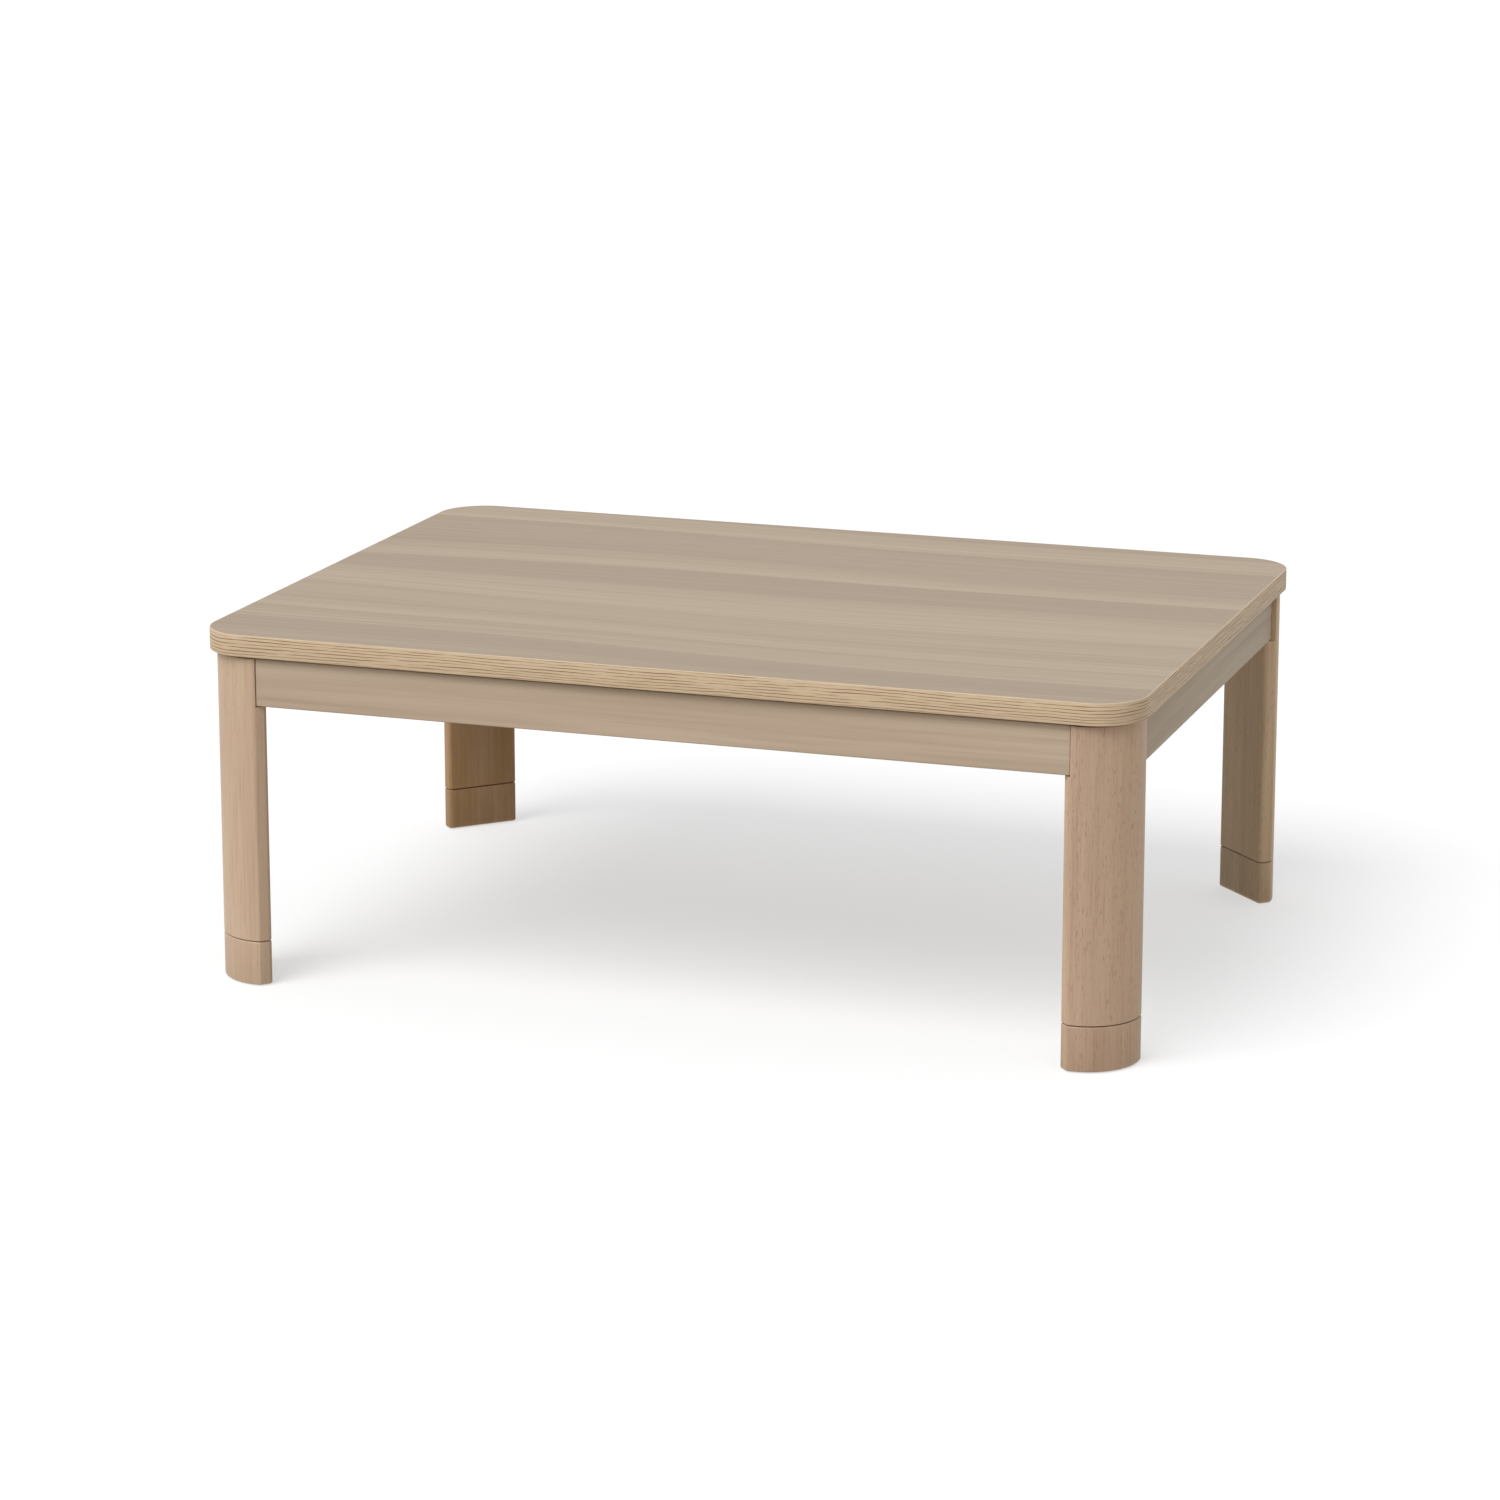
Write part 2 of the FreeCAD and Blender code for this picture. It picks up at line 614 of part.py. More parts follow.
def foot_bolt():
    """A hexagon-socket bolt, its head in the counterbore and its shank through the foot into the leg."""
    bolt, _ = fixing_places()
    seat = bolt + UP * (GLIDE_THICKNESS + COUNTERBORE_DEPTH)
    shank = rod(FOOT_BOLT_RADIUS, seat, UP, FOOT_LIFT + FOOT_BOLT_REACH - seat.z)
    low = seat + DOWN * FOOT_BOLT_HEAD_HEIGHT
    head = rod(FOOT_BOLT_HEAD_RADIUS, low, UP, FOOT_BOLT_HEAD_HEIGHT)
    corner = FOOT_BOLT_SOCKET_RADIUS
    socket = prism(hexagon(low, ALONG_X * corner, ALONG_Y * corner), UP * FOOT_BOLT_SOCKET_DEPTH)
    return shank.fuse(head).cut(socket)


def foot_dowels():
    """The two dowels glued into a foot."""
    _, dowels = fixing_places()
    low = UP * (FOOT_LIFT - DOWEL_LENGTH / 2)
    return [rod(DOWEL_RADIUS, place + low, UP, DOWEL_LENGTH) for place in dowels]


def glide_pad():
    """The felt under a foot: the leg's outline drawn in by a margin, with a hole for the bolt head."""
    outline = leg_bar(0, GLIDE_THICKNESS)
    face = Part.Face(Part.Wire(Part.__sortEdges__(outer_loop(outline, 0))))
    smaller = Part.Face(face.OuterWire.makeOffset2D(-GLIDE_MARGIN))
    pad = smaller.extrude(UP * GLIDE_THICKNESS)
    bolt, _ = fixing_places()
    return pad.cut(hole(COUNTERBORE_RADIUS, bolt, UP, GLIDE_THICKNESS))


# Aprons, rails and bumpers


def apron(length, setback, level_bottom):
    """An apron along X, centred on the origin in plan, with eased long edges."""
    half, thick = length / 2, (APRON_INNER - setback) / 2
    bar = box(-half, half, -thick, thick, level_bottom, level_bottom + APRON_HEIGHT)
    return bar.makeFillet(APRON_ROUND, [edge for edge in bar.Edges if edge.BoundBox.XLength > half])


def apron_middle(setback):
    """How far in from the top's edge the middle of an apron's thickness stands."""
    return (setback + APRON_INNER) / 2


def rail_dowel_seats():
    """Where every rail dowel crosses its joint, and the direction in which it does."""
    level = FRAME_TOP - RAIL_THICKNESS / 2
    opening_half = HEATER_OPENING_WIDTH / 2
    rail_centre = opening_half + RAIL_WIDTH / 2
    long_end = TOP_WIDTH / 2 - APRON_INNER
    seats = []
    for sx in SIDES:
        for sy in SIDES:
            for spread in SIDES:
                offset = spread * RAIL_DOWEL_SPREAD
                seats.append((Vector(sx * rail_centre + offset, sy * long_end, level), ALONG_Y * sy))
                seats.append((Vector(sx * opening_half, sy * rail_centre + offset, level), ALONG_X * sx))
    return seats


def rail_dowels():
    """Every dowel between a rail's end and what it meets."""
    starts = [(seat - outward * (RAIL_DOWEL_LENGTH / 2), outward) for seat, outward in rail_dowel_seats()]
    return [rod(RAIL_DOWEL_RADIUS, start, outward, RAIL_DOWEL_LENGTH) for start, outward in starts]


def frame_parts():
    """Aprons and rails, drilled for dowels and screws."""
    dowels = rail_dowels()
    pilots = [to_corner(hole, sx, sy) for sx, sy in CORNERS.values() for hole in screw_pilots()]
    long_apron = apron(TOP_LENGTH - 2 * APRON_END, LONG_APRON_SETBACK, APRON_BOTTOM)
    short_apron = apron(TOP_WIDTH - 2 * APRON_END, SHORT_APRON_SETBACK, APRON_BOTTOM)
    short_apron.rotate(Vector(0, 0, 0), UP, 90)
    made = {}
    for name, sy in (("front_apron", -1), ("back_apron", 1)):
        piece = long_apron.copy()
        piece.translate(Vector(0, sy * (TOP_WIDTH / 2 - apron_middle(LONG_APRON_SETBACK)), 0))
        made[name] = piece.cut(dowels + pilots)
    for name, sx in (("left_apron", -1), ("right_apron", 1)):
        piece = short_apron.copy()
        piece.translate(Vector(sx * (TOP_LENGTH / 2 - apron_middle(SHORT_APRON_SETBACK)), 0, 0))
        made[name] = piece.cut(pilots)
    inner, outer = HEATER_OPENING_WIDTH / 2, HEATER_OPENING_WIDTH / 2 + RAIL_WIDTH
    reach = TOP_WIDTH / 2 - APRON_INNER
    screws = heater_screw_pilots()
    for name, sx in (("left_rail", -1), ("right_rail", 1)):
        made[name] = box(sx * inner, sx * outer, -reach, reach, RAIL_BOTTOM, FRAME_TOP).cut(dowels + screws)
    for name, sy in (("front_rail", -1), ("back_rail", 1)):
        made[name] = box(-inner, inner, sy * inner, sy * outer, RAIL_BOTTOM, FRAME_TOP).cut(dowels)
    return made


def bumpers():
    """Two anti-slip pads on each apron."""
    middle = apron_middle(SHORT_APRON_SETBACK)
    along_x = (TOP_LENGTH / 2 - APRON_END) * BUMPER_SPREAD_SHARE
    along_y = (TOP_WIDTH / 2 - APRON_END) * BUMPER_SPREAD_SHARE
    places = []
    for sx in SIDES:
        for sy in SIDES:
            places.append(Vector(sx * along_x, sy * (TOP_WIDTH / 2 - middle), FRAME_TOP))
            places.append(Vector(sx * (TOP_LENGTH / 2 - middle), sy * along_y, FRAME_TOP))
    return [rod(BUMPER_RADIUS, place, UP, BUMPER_HEIGHT) for place in places]


# Heater case


def boss_places():
    """Where the four fixing bosses of the bezel stand, in plan."""
    out = BEZEL_WIDTH / 2 - BEZEL_WALL - BOSS_RADIUS
    along = BEZEL_WIDTH / 2 - BOSS_CORNER_INSET
    return [Vector(sx * out, sy * along, 0) for sx in SIDES for sy in SIDES]


def heater_screw_pilots():
    """The holes that the heater's screws make in the rails."""
    start = UP * (RAIL_BOTTOM - CUT_OVERRUN)
    length = HEATER_SCREW_GRIP + CUT_OVERRUN
    return [rod(SCREW_RADIUS, place + start, UP, length) for place in boss_places()]


def heater_housing():
    """The upper sheet-steel box with its flange and its vent slots."""
    half, wide = HOUSING_WIDTH / 2, BEZEL_WIDTH / 2
    flange = rounded_plate(wide, wide, BEZEL_CORNER_RADIUS, FLANGE_BOTTOM, RAIL_BOTTOM)
    rise = rounded_plate(half, half, HOUSING_CORNER_RADIUS, FLANGE_BOTTOM, HOUSING_TOP)
    inside, radius = half - HOUSING_SHEET, HOUSING_CORNER_RADIUS - HOUSING_SHEET
    hollow = rounded_plate(inside, inside, radius, FLANGE_BOTTOM - CUT_OVERRUN, HOUSING_TOP - HOUSING_SHEET)
    cuts = [hollow] + vent_slots()
    for place in boss_places():
        cuts.append(hole(SCREW_RADIUS + BOSS_HOLE_CLEARANCE, place + UP * FLANGE_BOTTOM, UP, HOUSING_SHEET))
    return flange.fuse(rise).cut(cuts).removeSplitter()


def vent_slots():
    """Two rows of slots through the top of the housing."""
    slots = []
    low, high = HOUSING_TOP - HOUSING_SHEET - CUT_OVERRUN, HOUSING_TOP + CUT_OVERRUN
    for side in SIDES:
        start, end = side * VENT_OFFSET - VENT_LENGTH / 2, side * VENT_OFFSET + VENT_LENGTH / 2
        for step in range(VENT_COUNT):
            across = (step - (VENT_COUNT - 1) / 2) * VENT_PITCH
            slots.append(box(start, end, across - VENT_WIDTH / 2, across + VENT_WIDTH / 2, low, high))
    return slots


def heater_bezel():
    """The lower frame: a wall, an inward lip that carries the guard, and four hollow bosses."""
    wide = BEZEL_WIDTH / 2
    inside, inner_radius = wide - BEZEL_WALL, BEZEL_CORNER_RADIUS - BEZEL_WALL
    ring = rounded_plate(wide, wide, BEZEL_CORNER_RADIUS, BEZEL_BOTTOM, FLANGE_BOTTOM)
    ring = ring.cut(rounded_plate(inside, inside, inner_radius, LIP_TOP, FLANGE_BOTTOM + CUT_OVERRUN))
    low, high = BEZEL_BOTTOM - CUT_OVERRUN, LIP_TOP + CUT_OVERRUN
    ring = ring.cut(rounded_plate(MOUTH_HALF, MOUTH_HALF, REFLECTOR_CORNER_RADIUS, low, high))
    recess = BEZEL_HEIGHT - BOSS_SEAT + CUT_OVERRUN
    cuts = [inlet_block(BEZEL_WALL)]
    for place in boss_places():
        outer = math.copysign(inside, place.x)
        half_web = BOSS_RADIUS / 2
        web = box(place.x, outer, place.y - half_web, place.y + half_web, LIP_TOP, FLANGE_BOTTOM)
        ring = ring.fuse([rod(BOSS_RADIUS, place + UP * BEZEL_BOTTOM, UP, BEZEL_HEIGHT), web])
        cuts.append(rod(BOSS_RECESS_RADIUS, place + UP * low, UP, recess))
        cuts.append(hole(SCREW_RADIUS + BOSS_HOLE_CLEARANCE, place + UP * BEZEL_BOTTOM, UP, BEZEL_HEIGHT))
    return ring.cut(cuts).removeSplitter()


def heater_screws():
    """The four screws that hold the heater to the rails."""
    seat = UP * (FLANGE_BOTTOM - BOSS_SEAT)
    grip = BOSS_SEAT + HOUSING_SHEET + HEATER_SCREW_GRIP
    return [pan_screw(place + seat, DOWN, grip) for place in boss_places()]


def tray(grow, bottom, top):
    """A block with sloping walls that follows the reflector's inside, grown all round."""
    mouth = rounded_rectangle(MOUTH_HALF + grow, MOUTH_HALF + grow, REFLECTOR_CORNER_RADIUS, bottom)
    crown = rounded_rectangle(PLATE_HALF + grow, PLATE_HALF + grow, REFLECTOR_CORNER_RADIUS, top)
    return Part.makeLoft([mouth, crown], True, True)


def heater_reflector():
    """The bright pressed tray over the tubes, with a rim below and holes for the shaft and the leads."""
    rim_half, rim_radius = MOUTH_HALF + REFLECTOR_RIM, REFLECTOR_CORNER_RADIUS + REFLECTOR_RIM
    rim = rounded_plate(rim_half, rim_half, rim_radius, RIM_BOTTOM, RIM_BOTTOM + REFLECTOR_SHEET)
    outside = tray(0, RIM_BOTTOM, PLATE_TOP)
    inside = tray(-REFLECTOR_SHEET, RIM_BOTTOM, PLATE_BOTTOM)
    cuts = [inside, hole(MOTOR_BOSS_RADIUS + BOSS_PASS_CLEARANCE, UP * PLATE_BOTTOM, UP, REFLECTOR_SHEET)]
    for place in tube_ends():
        start = Vector(place.x, place.y, PLATE_BOTTOM)
        cuts.append(hole(LEAD_RADIUS + LEAD_HOLE_CLEARANCE, start, UP, REFLECTOR_SHEET))
    return outside.fuse(rim).cut(cuts).removeSplitter()


def guard_frame(half):
    """The guard's frame: four straight rods with a bend at each corner."""
    straight = half - GUARD_CORNER_RADIUS
    start, bend_centre = Vector(-straight, half, GUARD_LEVEL), Vector(straight, straight, GUARD_LEVEL)
    section = Part.Face(Part.Wire(Part.makeCircle(GUARD_FRAME_RADIUS, Vector(straight, half, GUARD_LEVEL), ALONG_X)))
    made = []
    for quarter in range(4):
        side = rod(GUARD_FRAME_RADIUS, start, ALONG_X, 2 * straight)
        bend = section.revolve(bend_centre, UP, -90)
        for piece in (side, bend):
            piece.rotate(Vector(0, 0, 0), UP, 90 * quarter)
            made.append(piece)
    return made


def heater_guard():
    """The wire guard: its frame, the wires welded across it and a few crossing wires on top."""
    half = MOUTH_HALF + GUARD_MARGIN
    made = guard_frame(half)
    inside = half - GUARD_FRAME_RADIUS
    wire_end = inside - GUARD_WELD_GAP
    reach = int(inside / GUARD_WIRE_PITCH)
    for step in range(-reach, reach + 1):
        start = Vector(-wire_end, step * GUARD_WIRE_PITCH, GUARD_LEVEL)
        made.append(rod(GUARD_WIRE_RADIUS, start, ALONG_X, 2 * wire_end))
    level = GUARD_LEVEL + 2 * GUARD_WIRE_RADIUS + GUARD_WELD_GAP
    last = reach * GUARD_WIRE_PITCH + GUARD_WIRE_RADIUS
    for step in range(GUARD_CROSS_COUNT):
        across = (step - (GUARD_CROSS_COUNT - 1) / 2) * 2 * half / (GUARD_CROSS_COUNT + 1)
        made.append(rod(GUARD_WIRE_RADIUS, Vector(across, -last, level), ALONG_Y, 2 * last))
    return made


# Heating tubes


def tube_ends():
    """The middles of the four ceramic caps."""
    return [Vector(sx * TUBE_SPREAD, sy * CAP_MIDDLE, TUBE_LEVEL) for sx in SIDES for sy in SIDES]


def quartz_tubes():
    """Two open glass tubes."""
    made = []
    for side in SIDES:
        start = Vector(side * TUBE_SPREAD, -TUBE_LENGTH / 2, TUBE_LEVEL)
        bore = hole(TUBE_RADIUS - TUBE_WALL, start, ALONG_Y, TUBE_LENGTH)
        made.append(rod(TUBE_RADIUS, start, ALONG_Y, TUBE_LENGTH).cut(bore))
    return made


def heating_coils():
    """The coil in each tube as a plain core, with thinner tails that run into the caps."""
    made = []
    for side in SIDES:
        core_half = TUBE_LENGTH / 2 - COIL_MARGIN
        tail_half = TUBE_LENGTH / 2
        centre = Vector(side * TUBE_SPREAD, 0, TUBE_LEVEL)
        core = rod(COIL_RADIUS, centre - ALONG_Y * core_half, ALONG_Y, 2 * core_half)
        tails = rod(COIL_TAIL_RADIUS, centre - ALONG_Y * tail_half, ALONG_Y, 2 * tail_half)
        made.append(core.fuse(tails))
    return made


def tube_end_caps():
    """A ceramic cap on each end of each tube, with its floor against the coil's tail."""
    made = []
    for sx in SIDES:
        for sy in SIDES:
            mouth = Vector(sx * TUBE_SPREAD, sy * (CAP_END - CAP_LENGTH), TUBE_LEVEL)
            outward = ALONG_Y * sy
            socket = rod(TUBE_RADIUS, mouth - outward * CUT_OVERRUN, outward, CAP_OVERLAP + CUT_OVERRUN)
            made.append(rod(CAP_RADIUS, mouth, outward, CAP_LENGTH).cut(socket))
    return made


def tube_holders():
    """A sheet-steel hanger for each cap: a tab against the reflector and a plate with a round hole."""
    made = []
    half, low = CAP_RADIUS + HOLDER_SIDE, TUBE_LEVEL - CAP_RADIUS - HOLDER_FOOT
    tab_low = PLATE_BOTTOM - HOLDER_SHEET
    holder_y = CAP_MIDDLE - CAP_LENGTH / 4
    for sx in SIDES:
        for sy in SIDES:
            x = sx * TUBE_SPREAD
            y_near, y_far = sy * (holder_y - HOLDER_SHEET / 2), sy * (holder_y + HOLDER_SHEET / 2)
            plate = box(x - half, x + half, y_near, y_far, low, PLATE_BOTTOM)
            tab = box(x - half, x + half, y_near, y_near - sy * HOLDER_TAB, tab_low, PLATE_BOTTOM)
            bore = hole(CAP_RADIUS, Vector(x, y_near, TUBE_LEVEL), ALONG_Y * sy, HOLDER_SHEET)
            made.append(plate.fuse(tab).cut(bore).removeSplitter())
    return made


# Fan


def fan_motor():
    """The motor can on the reflector, bored for the shaft, with a boss that passes the plate."""
    can = rod(MOTOR_RADIUS, UP * PLATE_TOP, UP, MOTOR_HEIGHT)
    can = can.makeFillet(MOTOR_ROUND, loop_edges(can, PLATE_TOP + MOTOR_HEIGHT))
    boss = rod(MOTOR_BOSS_RADIUS, UP * PLATE_BOTTOM, UP, REFLECTOR_SHEET)
    depth = SHAFT_GRIP + SHAFT_CLEARANCE + CUT_OVERRUN
    bore = rod(SHAFT_RADIUS + SHAFT_CLEARANCE, UP * (PLATE_BOTTOM - CUT_OVERRUN), UP, depth)
    return can.fuse(boss).cut(bore).removeSplitter()


def fan_shaft():
    """The shaft, from the bottom of the hub up into the motor."""
    bottom = WHEEL_TOP - WHEEL_HUB_HEIGHT
    return rod(SHAFT_RADIUS, UP * bottom, UP, PLATE_BOTTOM + SHAFT_GRIP - bottom)


def fan_wheel():
    """A disc with leaning blades below it and a hub on the shaft."""
    disc = rod(WHEEL_RADIUS, UP * (WHEEL_TOP - WHEEL_DISC), UP, WHEEL_DISC)
    hub = rod(WHEEL_HUB_RADIUS, UP * (WHEEL_TOP - WHEEL_HUB_HEIGHT), UP, WHEEL_HUB_HEIGHT)
    blades, half = [], WHEEL_BLADE_THICKNESS / 2
    low, high = WHEEL_TOP - WHEEL_DISC - WHEEL_BLADE_HEIGHT, WHEEL_TOP - WHEEL_DISC / 2
    length = (WHEEL_RADIUS - WHEEL_BLADE_ROOT) * math.cos(math.radians(WHEEL_BLADE_LEAN_DEG))
    for step in range(WHEEL_BLADE_COUNT):
        blade = box(0, length, -half, half, low, high)
        blade.rotate(Vector(0, 0, 0), UP, WHEEL_BLADE_LEAN_DEG)
        blade.translate(Vector(WHEEL_BLADE_ROOT, 0, 0))
        blade.rotate(Vector(0, 0, 0), UP, 360 * step / WHEEL_BLADE_COUNT)
        blades.append(blade)
    bore = hole(SHAFT_RADIUS, UP * (WHEEL_TOP - WHEEL_HUB_HEIGHT), UP, WHEEL_HUB_HEIGHT)
    return disc.fuse([hub] + blades).cut(bore).removeSplitter()


# Controls


def terminal_screw_places():
    """Centres of the terminal block's screws, at its top."""
    top = PLATE_TOP + TERMINAL_HEIGHT
    steps = [step - (TERMINAL_SCREW_COUNT - 1) / 2 for step in range(TERMINAL_SCREW_COUNT)]
    return [Vector(TERMINAL_X, step * TERMINAL_SCREW_PITCH, top) for step in steps]


def terminal_block():
    """The terminal block, with a round well for each screw."""
    half_x, half_y = TERMINAL_WIDTH / 2, TERMINAL_LENGTH / 2
    top = PLATE_TOP + TERMINAL_HEIGHT
    block = box(TERMINAL_X - half_x, TERMINAL_X + half_x, -half_y, half_y, PLATE_TOP, top)
    mouths = [place + UP * CUT_OVERRUN for place in terminal_screw_places()]
    depth = TERMINAL_WELL_DEPTH + CUT_OVERRUN
    return block.cut([rod(TERMINAL_SCREW_RADIUS, mouth, DOWN, depth) for mouth in mouths])


def terminal_screws():
    """A plain cheese-head screw in each well, standing on its floor."""
    floor = DOWN * TERMINAL_WELL_DEPTH
    places = terminal_screw_places()
    return [rod(TERMINAL_SCREW_RADIUS, place + floor, UP, TERMINAL_SCREW_HEIGHT) for place in places]


def thermostat():
    """A round snap-disc thermostat on its plate."""
    x, y = THERMOSTAT_X, THERMOSTAT_Y
    half = THERMOSTAT_PLATE / 2
    plate_top = PLATE_TOP + THERMOSTAT_PLATE_THICKNESS
    plate = box(x - half, x + half, y - THERMOSTAT_RADIUS, y + THERMOSTAT_RADIUS, PLATE_TOP, plate_top)
    body = rod(THERMOSTAT_RADIUS, Vector(x, y, PLATE_TOP), UP, THERMOSTAT_HEIGHT)
    return plate.fuse(body).removeSplitter()


def thermal_fuse():
    """A fuse cartridge lying along X in a clip on the reflector."""
    level = PLATE_TOP + FUSE_CLIP_SHEET + FUSE_RADIUS
    body = rod(FUSE_RADIUS, Vector(FUSE_X - FUSE_LENGTH / 2, FUSE_Y, level), ALONG_X, FUSE_LENGTH)
    half, side = FUSE_CLIP_WIDTH / 2, FUSE_RADIUS + FUSE_CLIP_SHEET
    clip = box(FUSE_X - half, FUSE_X + half, FUSE_Y - side, FUSE_Y + side, PLATE_TOP, level)
    return body.fuse(clip).removeSplitter()


def inlet_block(depth):
    """A block of the inlet's outline, going a depth in from the bezel's outer face."""
    outer = BEZEL_WIDTH / 2
    return box(outer - depth, outer, -INLET_WIDTH / 2, INLET_WIDTH / 2, INLET_BOTTOM, INLET_TOP)


def power_inlet():
    """The socket for the supply lead: a body in the bezel's wall, a flange outside and a recess."""
    half_width, half_height = INLET_WIDTH / 2 + INLET_FLANGE, INLET_HEIGHT / 2 + INLET_FLANGE
    low, high = INLET_MIDDLE - half_height, INLET_MIDDLE + half_height
    flange = box(BEZEL_WIDTH / 2, INLET_MOUTH, -half_width, half_width, low, high)
    floor, outside = INLET_MOUTH - INLET_RECESS_DEPTH, INLET_MOUTH + CUT_OVERRUN
    half_width, half_height = INLET_RECESS_WIDTH / 2, INLET_RECESS_HEIGHT / 2
    low, high = INLET_MIDDLE - half_height, INLET_MIDDLE + half_height
    recess = box(floor, outside, -half_width, half_width, low, high)
    return inlet_block(INLET_DEPTH).fuse(flange).cut([recess] + inlet_pins()).removeSplitter()


def inlet_pins():
    """The two contact pins, rooted in the floor of the recess."""
    root = INLET_MOUTH - INLET_RECESS_DEPTH - PIN_ROOT
    places = [Vector(root, side * PIN_PITCH / 2, INLET_MIDDLE) for side in SIDES]
    return [rod(PIN_RADIUS, place, ALONG_X, PIN_ROOT + PIN_LENGTH) for place in places]


# Leads inside the heater, each from one terminal to the next


def lead(points):
    """A round lead along straight runs joined by tangent arcs."""
    edges, cursor, smallest = [], points[0], math.inf
    for before, corner, after in zip(points, points[1:], points[2:]):
        run_in, run_out = corner - before, after - corner
        half_turn = run_in.getAngle(run_out) / 2
        trim = LEAD_BEND_SHARE * min(run_in.Length, run_out.Length)
        radius = trim / math.tan(half_turn)
        smallest = min(smallest, radius)
        start, end = corner - run_in.normalize() * trim, corner + run_out.normalize() * trim
        inward = ((start + end) / 2 - corner).normalize()
        middle = corner + inward * (radius / math.cos(half_turn) - radius)
        edges += [Part.LineSegment(cursor, start).toShape(), Part.Arc(start, middle, end).toShape()]
        cursor = end
    edges.append(Part.LineSegment(cursor, points[-1]).toShape())
    path = Part.Wire(edges)
    section = Part.Wire(Part.makeCircle(LEAD_RADIUS, points[0], points[1] - points[0]))
    tube = path.makePipeShell([section], True, False)
    share = tube.Volume / (math.pi * LEAD_RADIUS**2 * path.Length)
    print("lead: least radius", round(smallest, 2), "volume against section times length", round(share, 4))
    return tube


def inlet_lead(side):
    """From the back of the inlet, up past the reflector's slope, to the terminal block."""
    y, low, high = side * TERMINAL_SCREW_PITCH / 2, PLATE_TOP + LEAD_LOW, PLATE_TOP + LEAD_HIGH
    start = BEZEL_WIDTH / 2 - INLET_DEPTH - LEAD_END_GAP
    end = TERMINAL_X + TERMINAL_WIDTH / 2 + LEAD_END_GAP
    climb = (start + PLATE_HALF) / 2
    return [
        Vector(start, y, INLET_TOP - LEAD_LOW),
        Vector(start - LEAD_RISE, y, INLET_TOP - LEAD_LOW),
        Vector(climb - LEAD_LOW, y, high),
        Vector(end + LEAD_STUB, y, low),
        Vector(end, y, low),
    ]


def motor_lead(side):
    """From the terminal block, over a hump, to the motor's side."""
    y, low, high = side * TERMINAL_SCREW_PITCH / 2, PLATE_TOP + LEAD_LOW, PLATE_TOP + LEAD_HIGH
    start, end = TERMINAL_X - TERMINAL_WIDTH / 2 - LEAD_END_GAP, MOTOR_RADIUS + LEAD_END_GAP
    return [
        Vector(start, y, low),
        Vector(start - LEAD_STUB, y, low),
        Vector((start + end) / 2, y, high),
        Vector(end + LEAD_STUB, y, low),
        Vector(end, y, low),
    ]


def thermostat_tab(side):
    """Where a lead ends over the thermostat, and the point straight above it."""
    end = PLATE_TOP + THERMOSTAT_HEIGHT + LEAD_END_GAP
    y = THERMOSTAT_Y + side * THERMOSTAT_TAB_PITCH / 2
    return Vector(THERMOSTAT_X, y, end), Vector(THERMOSTAT_X, y, end + LEAD_RISE)


def cap_drop(sx, sy):
    """Where a lead ends on a ceramic cap, and the point above the reflector that it comes down from."""
    x, y = sx * TUBE_SPREAD, sy * CAP_MIDDLE
    return Vector(x, y, TUBE_LEVEL + CAP_RADIUS + LEAD_END_GAP), Vector(x, y, PLATE_TOP + LEAD_HUMP)


def block_to_thermostat():
    """From an outer screw of the terminal block to the thermostat."""
    y = -3 * TERMINAL_SCREW_PITCH / 2
    start = Vector(TERMINAL_X - TERMINAL_WIDTH / 2 - LEAD_END_GAP, y, PLATE_TOP + LEAD_LOW)
    tab, above = thermostat_tab(1)
    stub = start - ALONG_X * LEAD_STUB
    halfway = Vector((stub.x + above.x) / 2, (stub.y + above.y) / 2, PLATE_TOP + LEAD_HUMP)
    return [start, stub, halfway, above, tab]


def thermostat_to_fuse():
    """From the thermostat to the right end of the thermal fuse."""
    tab, above = thermostat_tab(-1)
    level = PLATE_TOP + FUSE_CLIP_SHEET + FUSE_RADIUS
    end = Vector(FUSE_X + FUSE_LENGTH / 2 + LEAD_END_GAP, FUSE_Y, level)
    stub = end + ALONG_X * LEAD_STUB
    halfway = Vector((stub.x + above.x) / 2, FUSE_Y - LEAD_LOW, PLATE_TOP + LEAD_HIGH)
    return [tab, above, halfway, stub, end]


def fuse_to_cap():
    """From the left end of the thermal fuse to the left tube's front cap."""
    level = PLATE_TOP + FUSE_CLIP_SHEET + FUSE_RADIUS
    start = Vector(FUSE_X - FUSE_LENGTH / 2 - LEAD_END_GAP, FUSE_Y, level)
    stub = start - ALONG_X * LEAD_STUB
    cap, above = cap_drop(-1, -1)
    halfway = Vector((stub.x + above.x) / 2, FUSE_Y, PLATE_TOP + LEAD_HIGH)
    return [start, stub, halfway, above, cap]


def block_to_cap():
    """From the terminal block's outer side to the right tube's front cap."""
    y = -3 * TERMINAL_SCREW_PITCH / 2
    start = Vector(TERMINAL_X + TERMINAL_WIDTH / 2 + LEAD_END_GAP, y, PLATE_TOP + LEAD_LOW)
    stub = start + ALONG_X * LEAD_STUB
    cap, above = cap_drop(1, -1)
    halfway = Vector(stub.x, (stub.y + above.y) / 2, PLATE_TOP + LEAD_HIGH)
    return [start, stub, halfway, above, cap]


def cap_to_cap():
    """Between the back caps of the two tubes."""
    left, above_left = cap_drop(-1, 1)
    right, above_right = cap_drop(1, 1)
    bow = Vector(0, CAP_MIDDLE - LEAD_STUB, PLATE_TOP + LEAD_HIGH)
    return [left, above_left, bow, above_right, right]


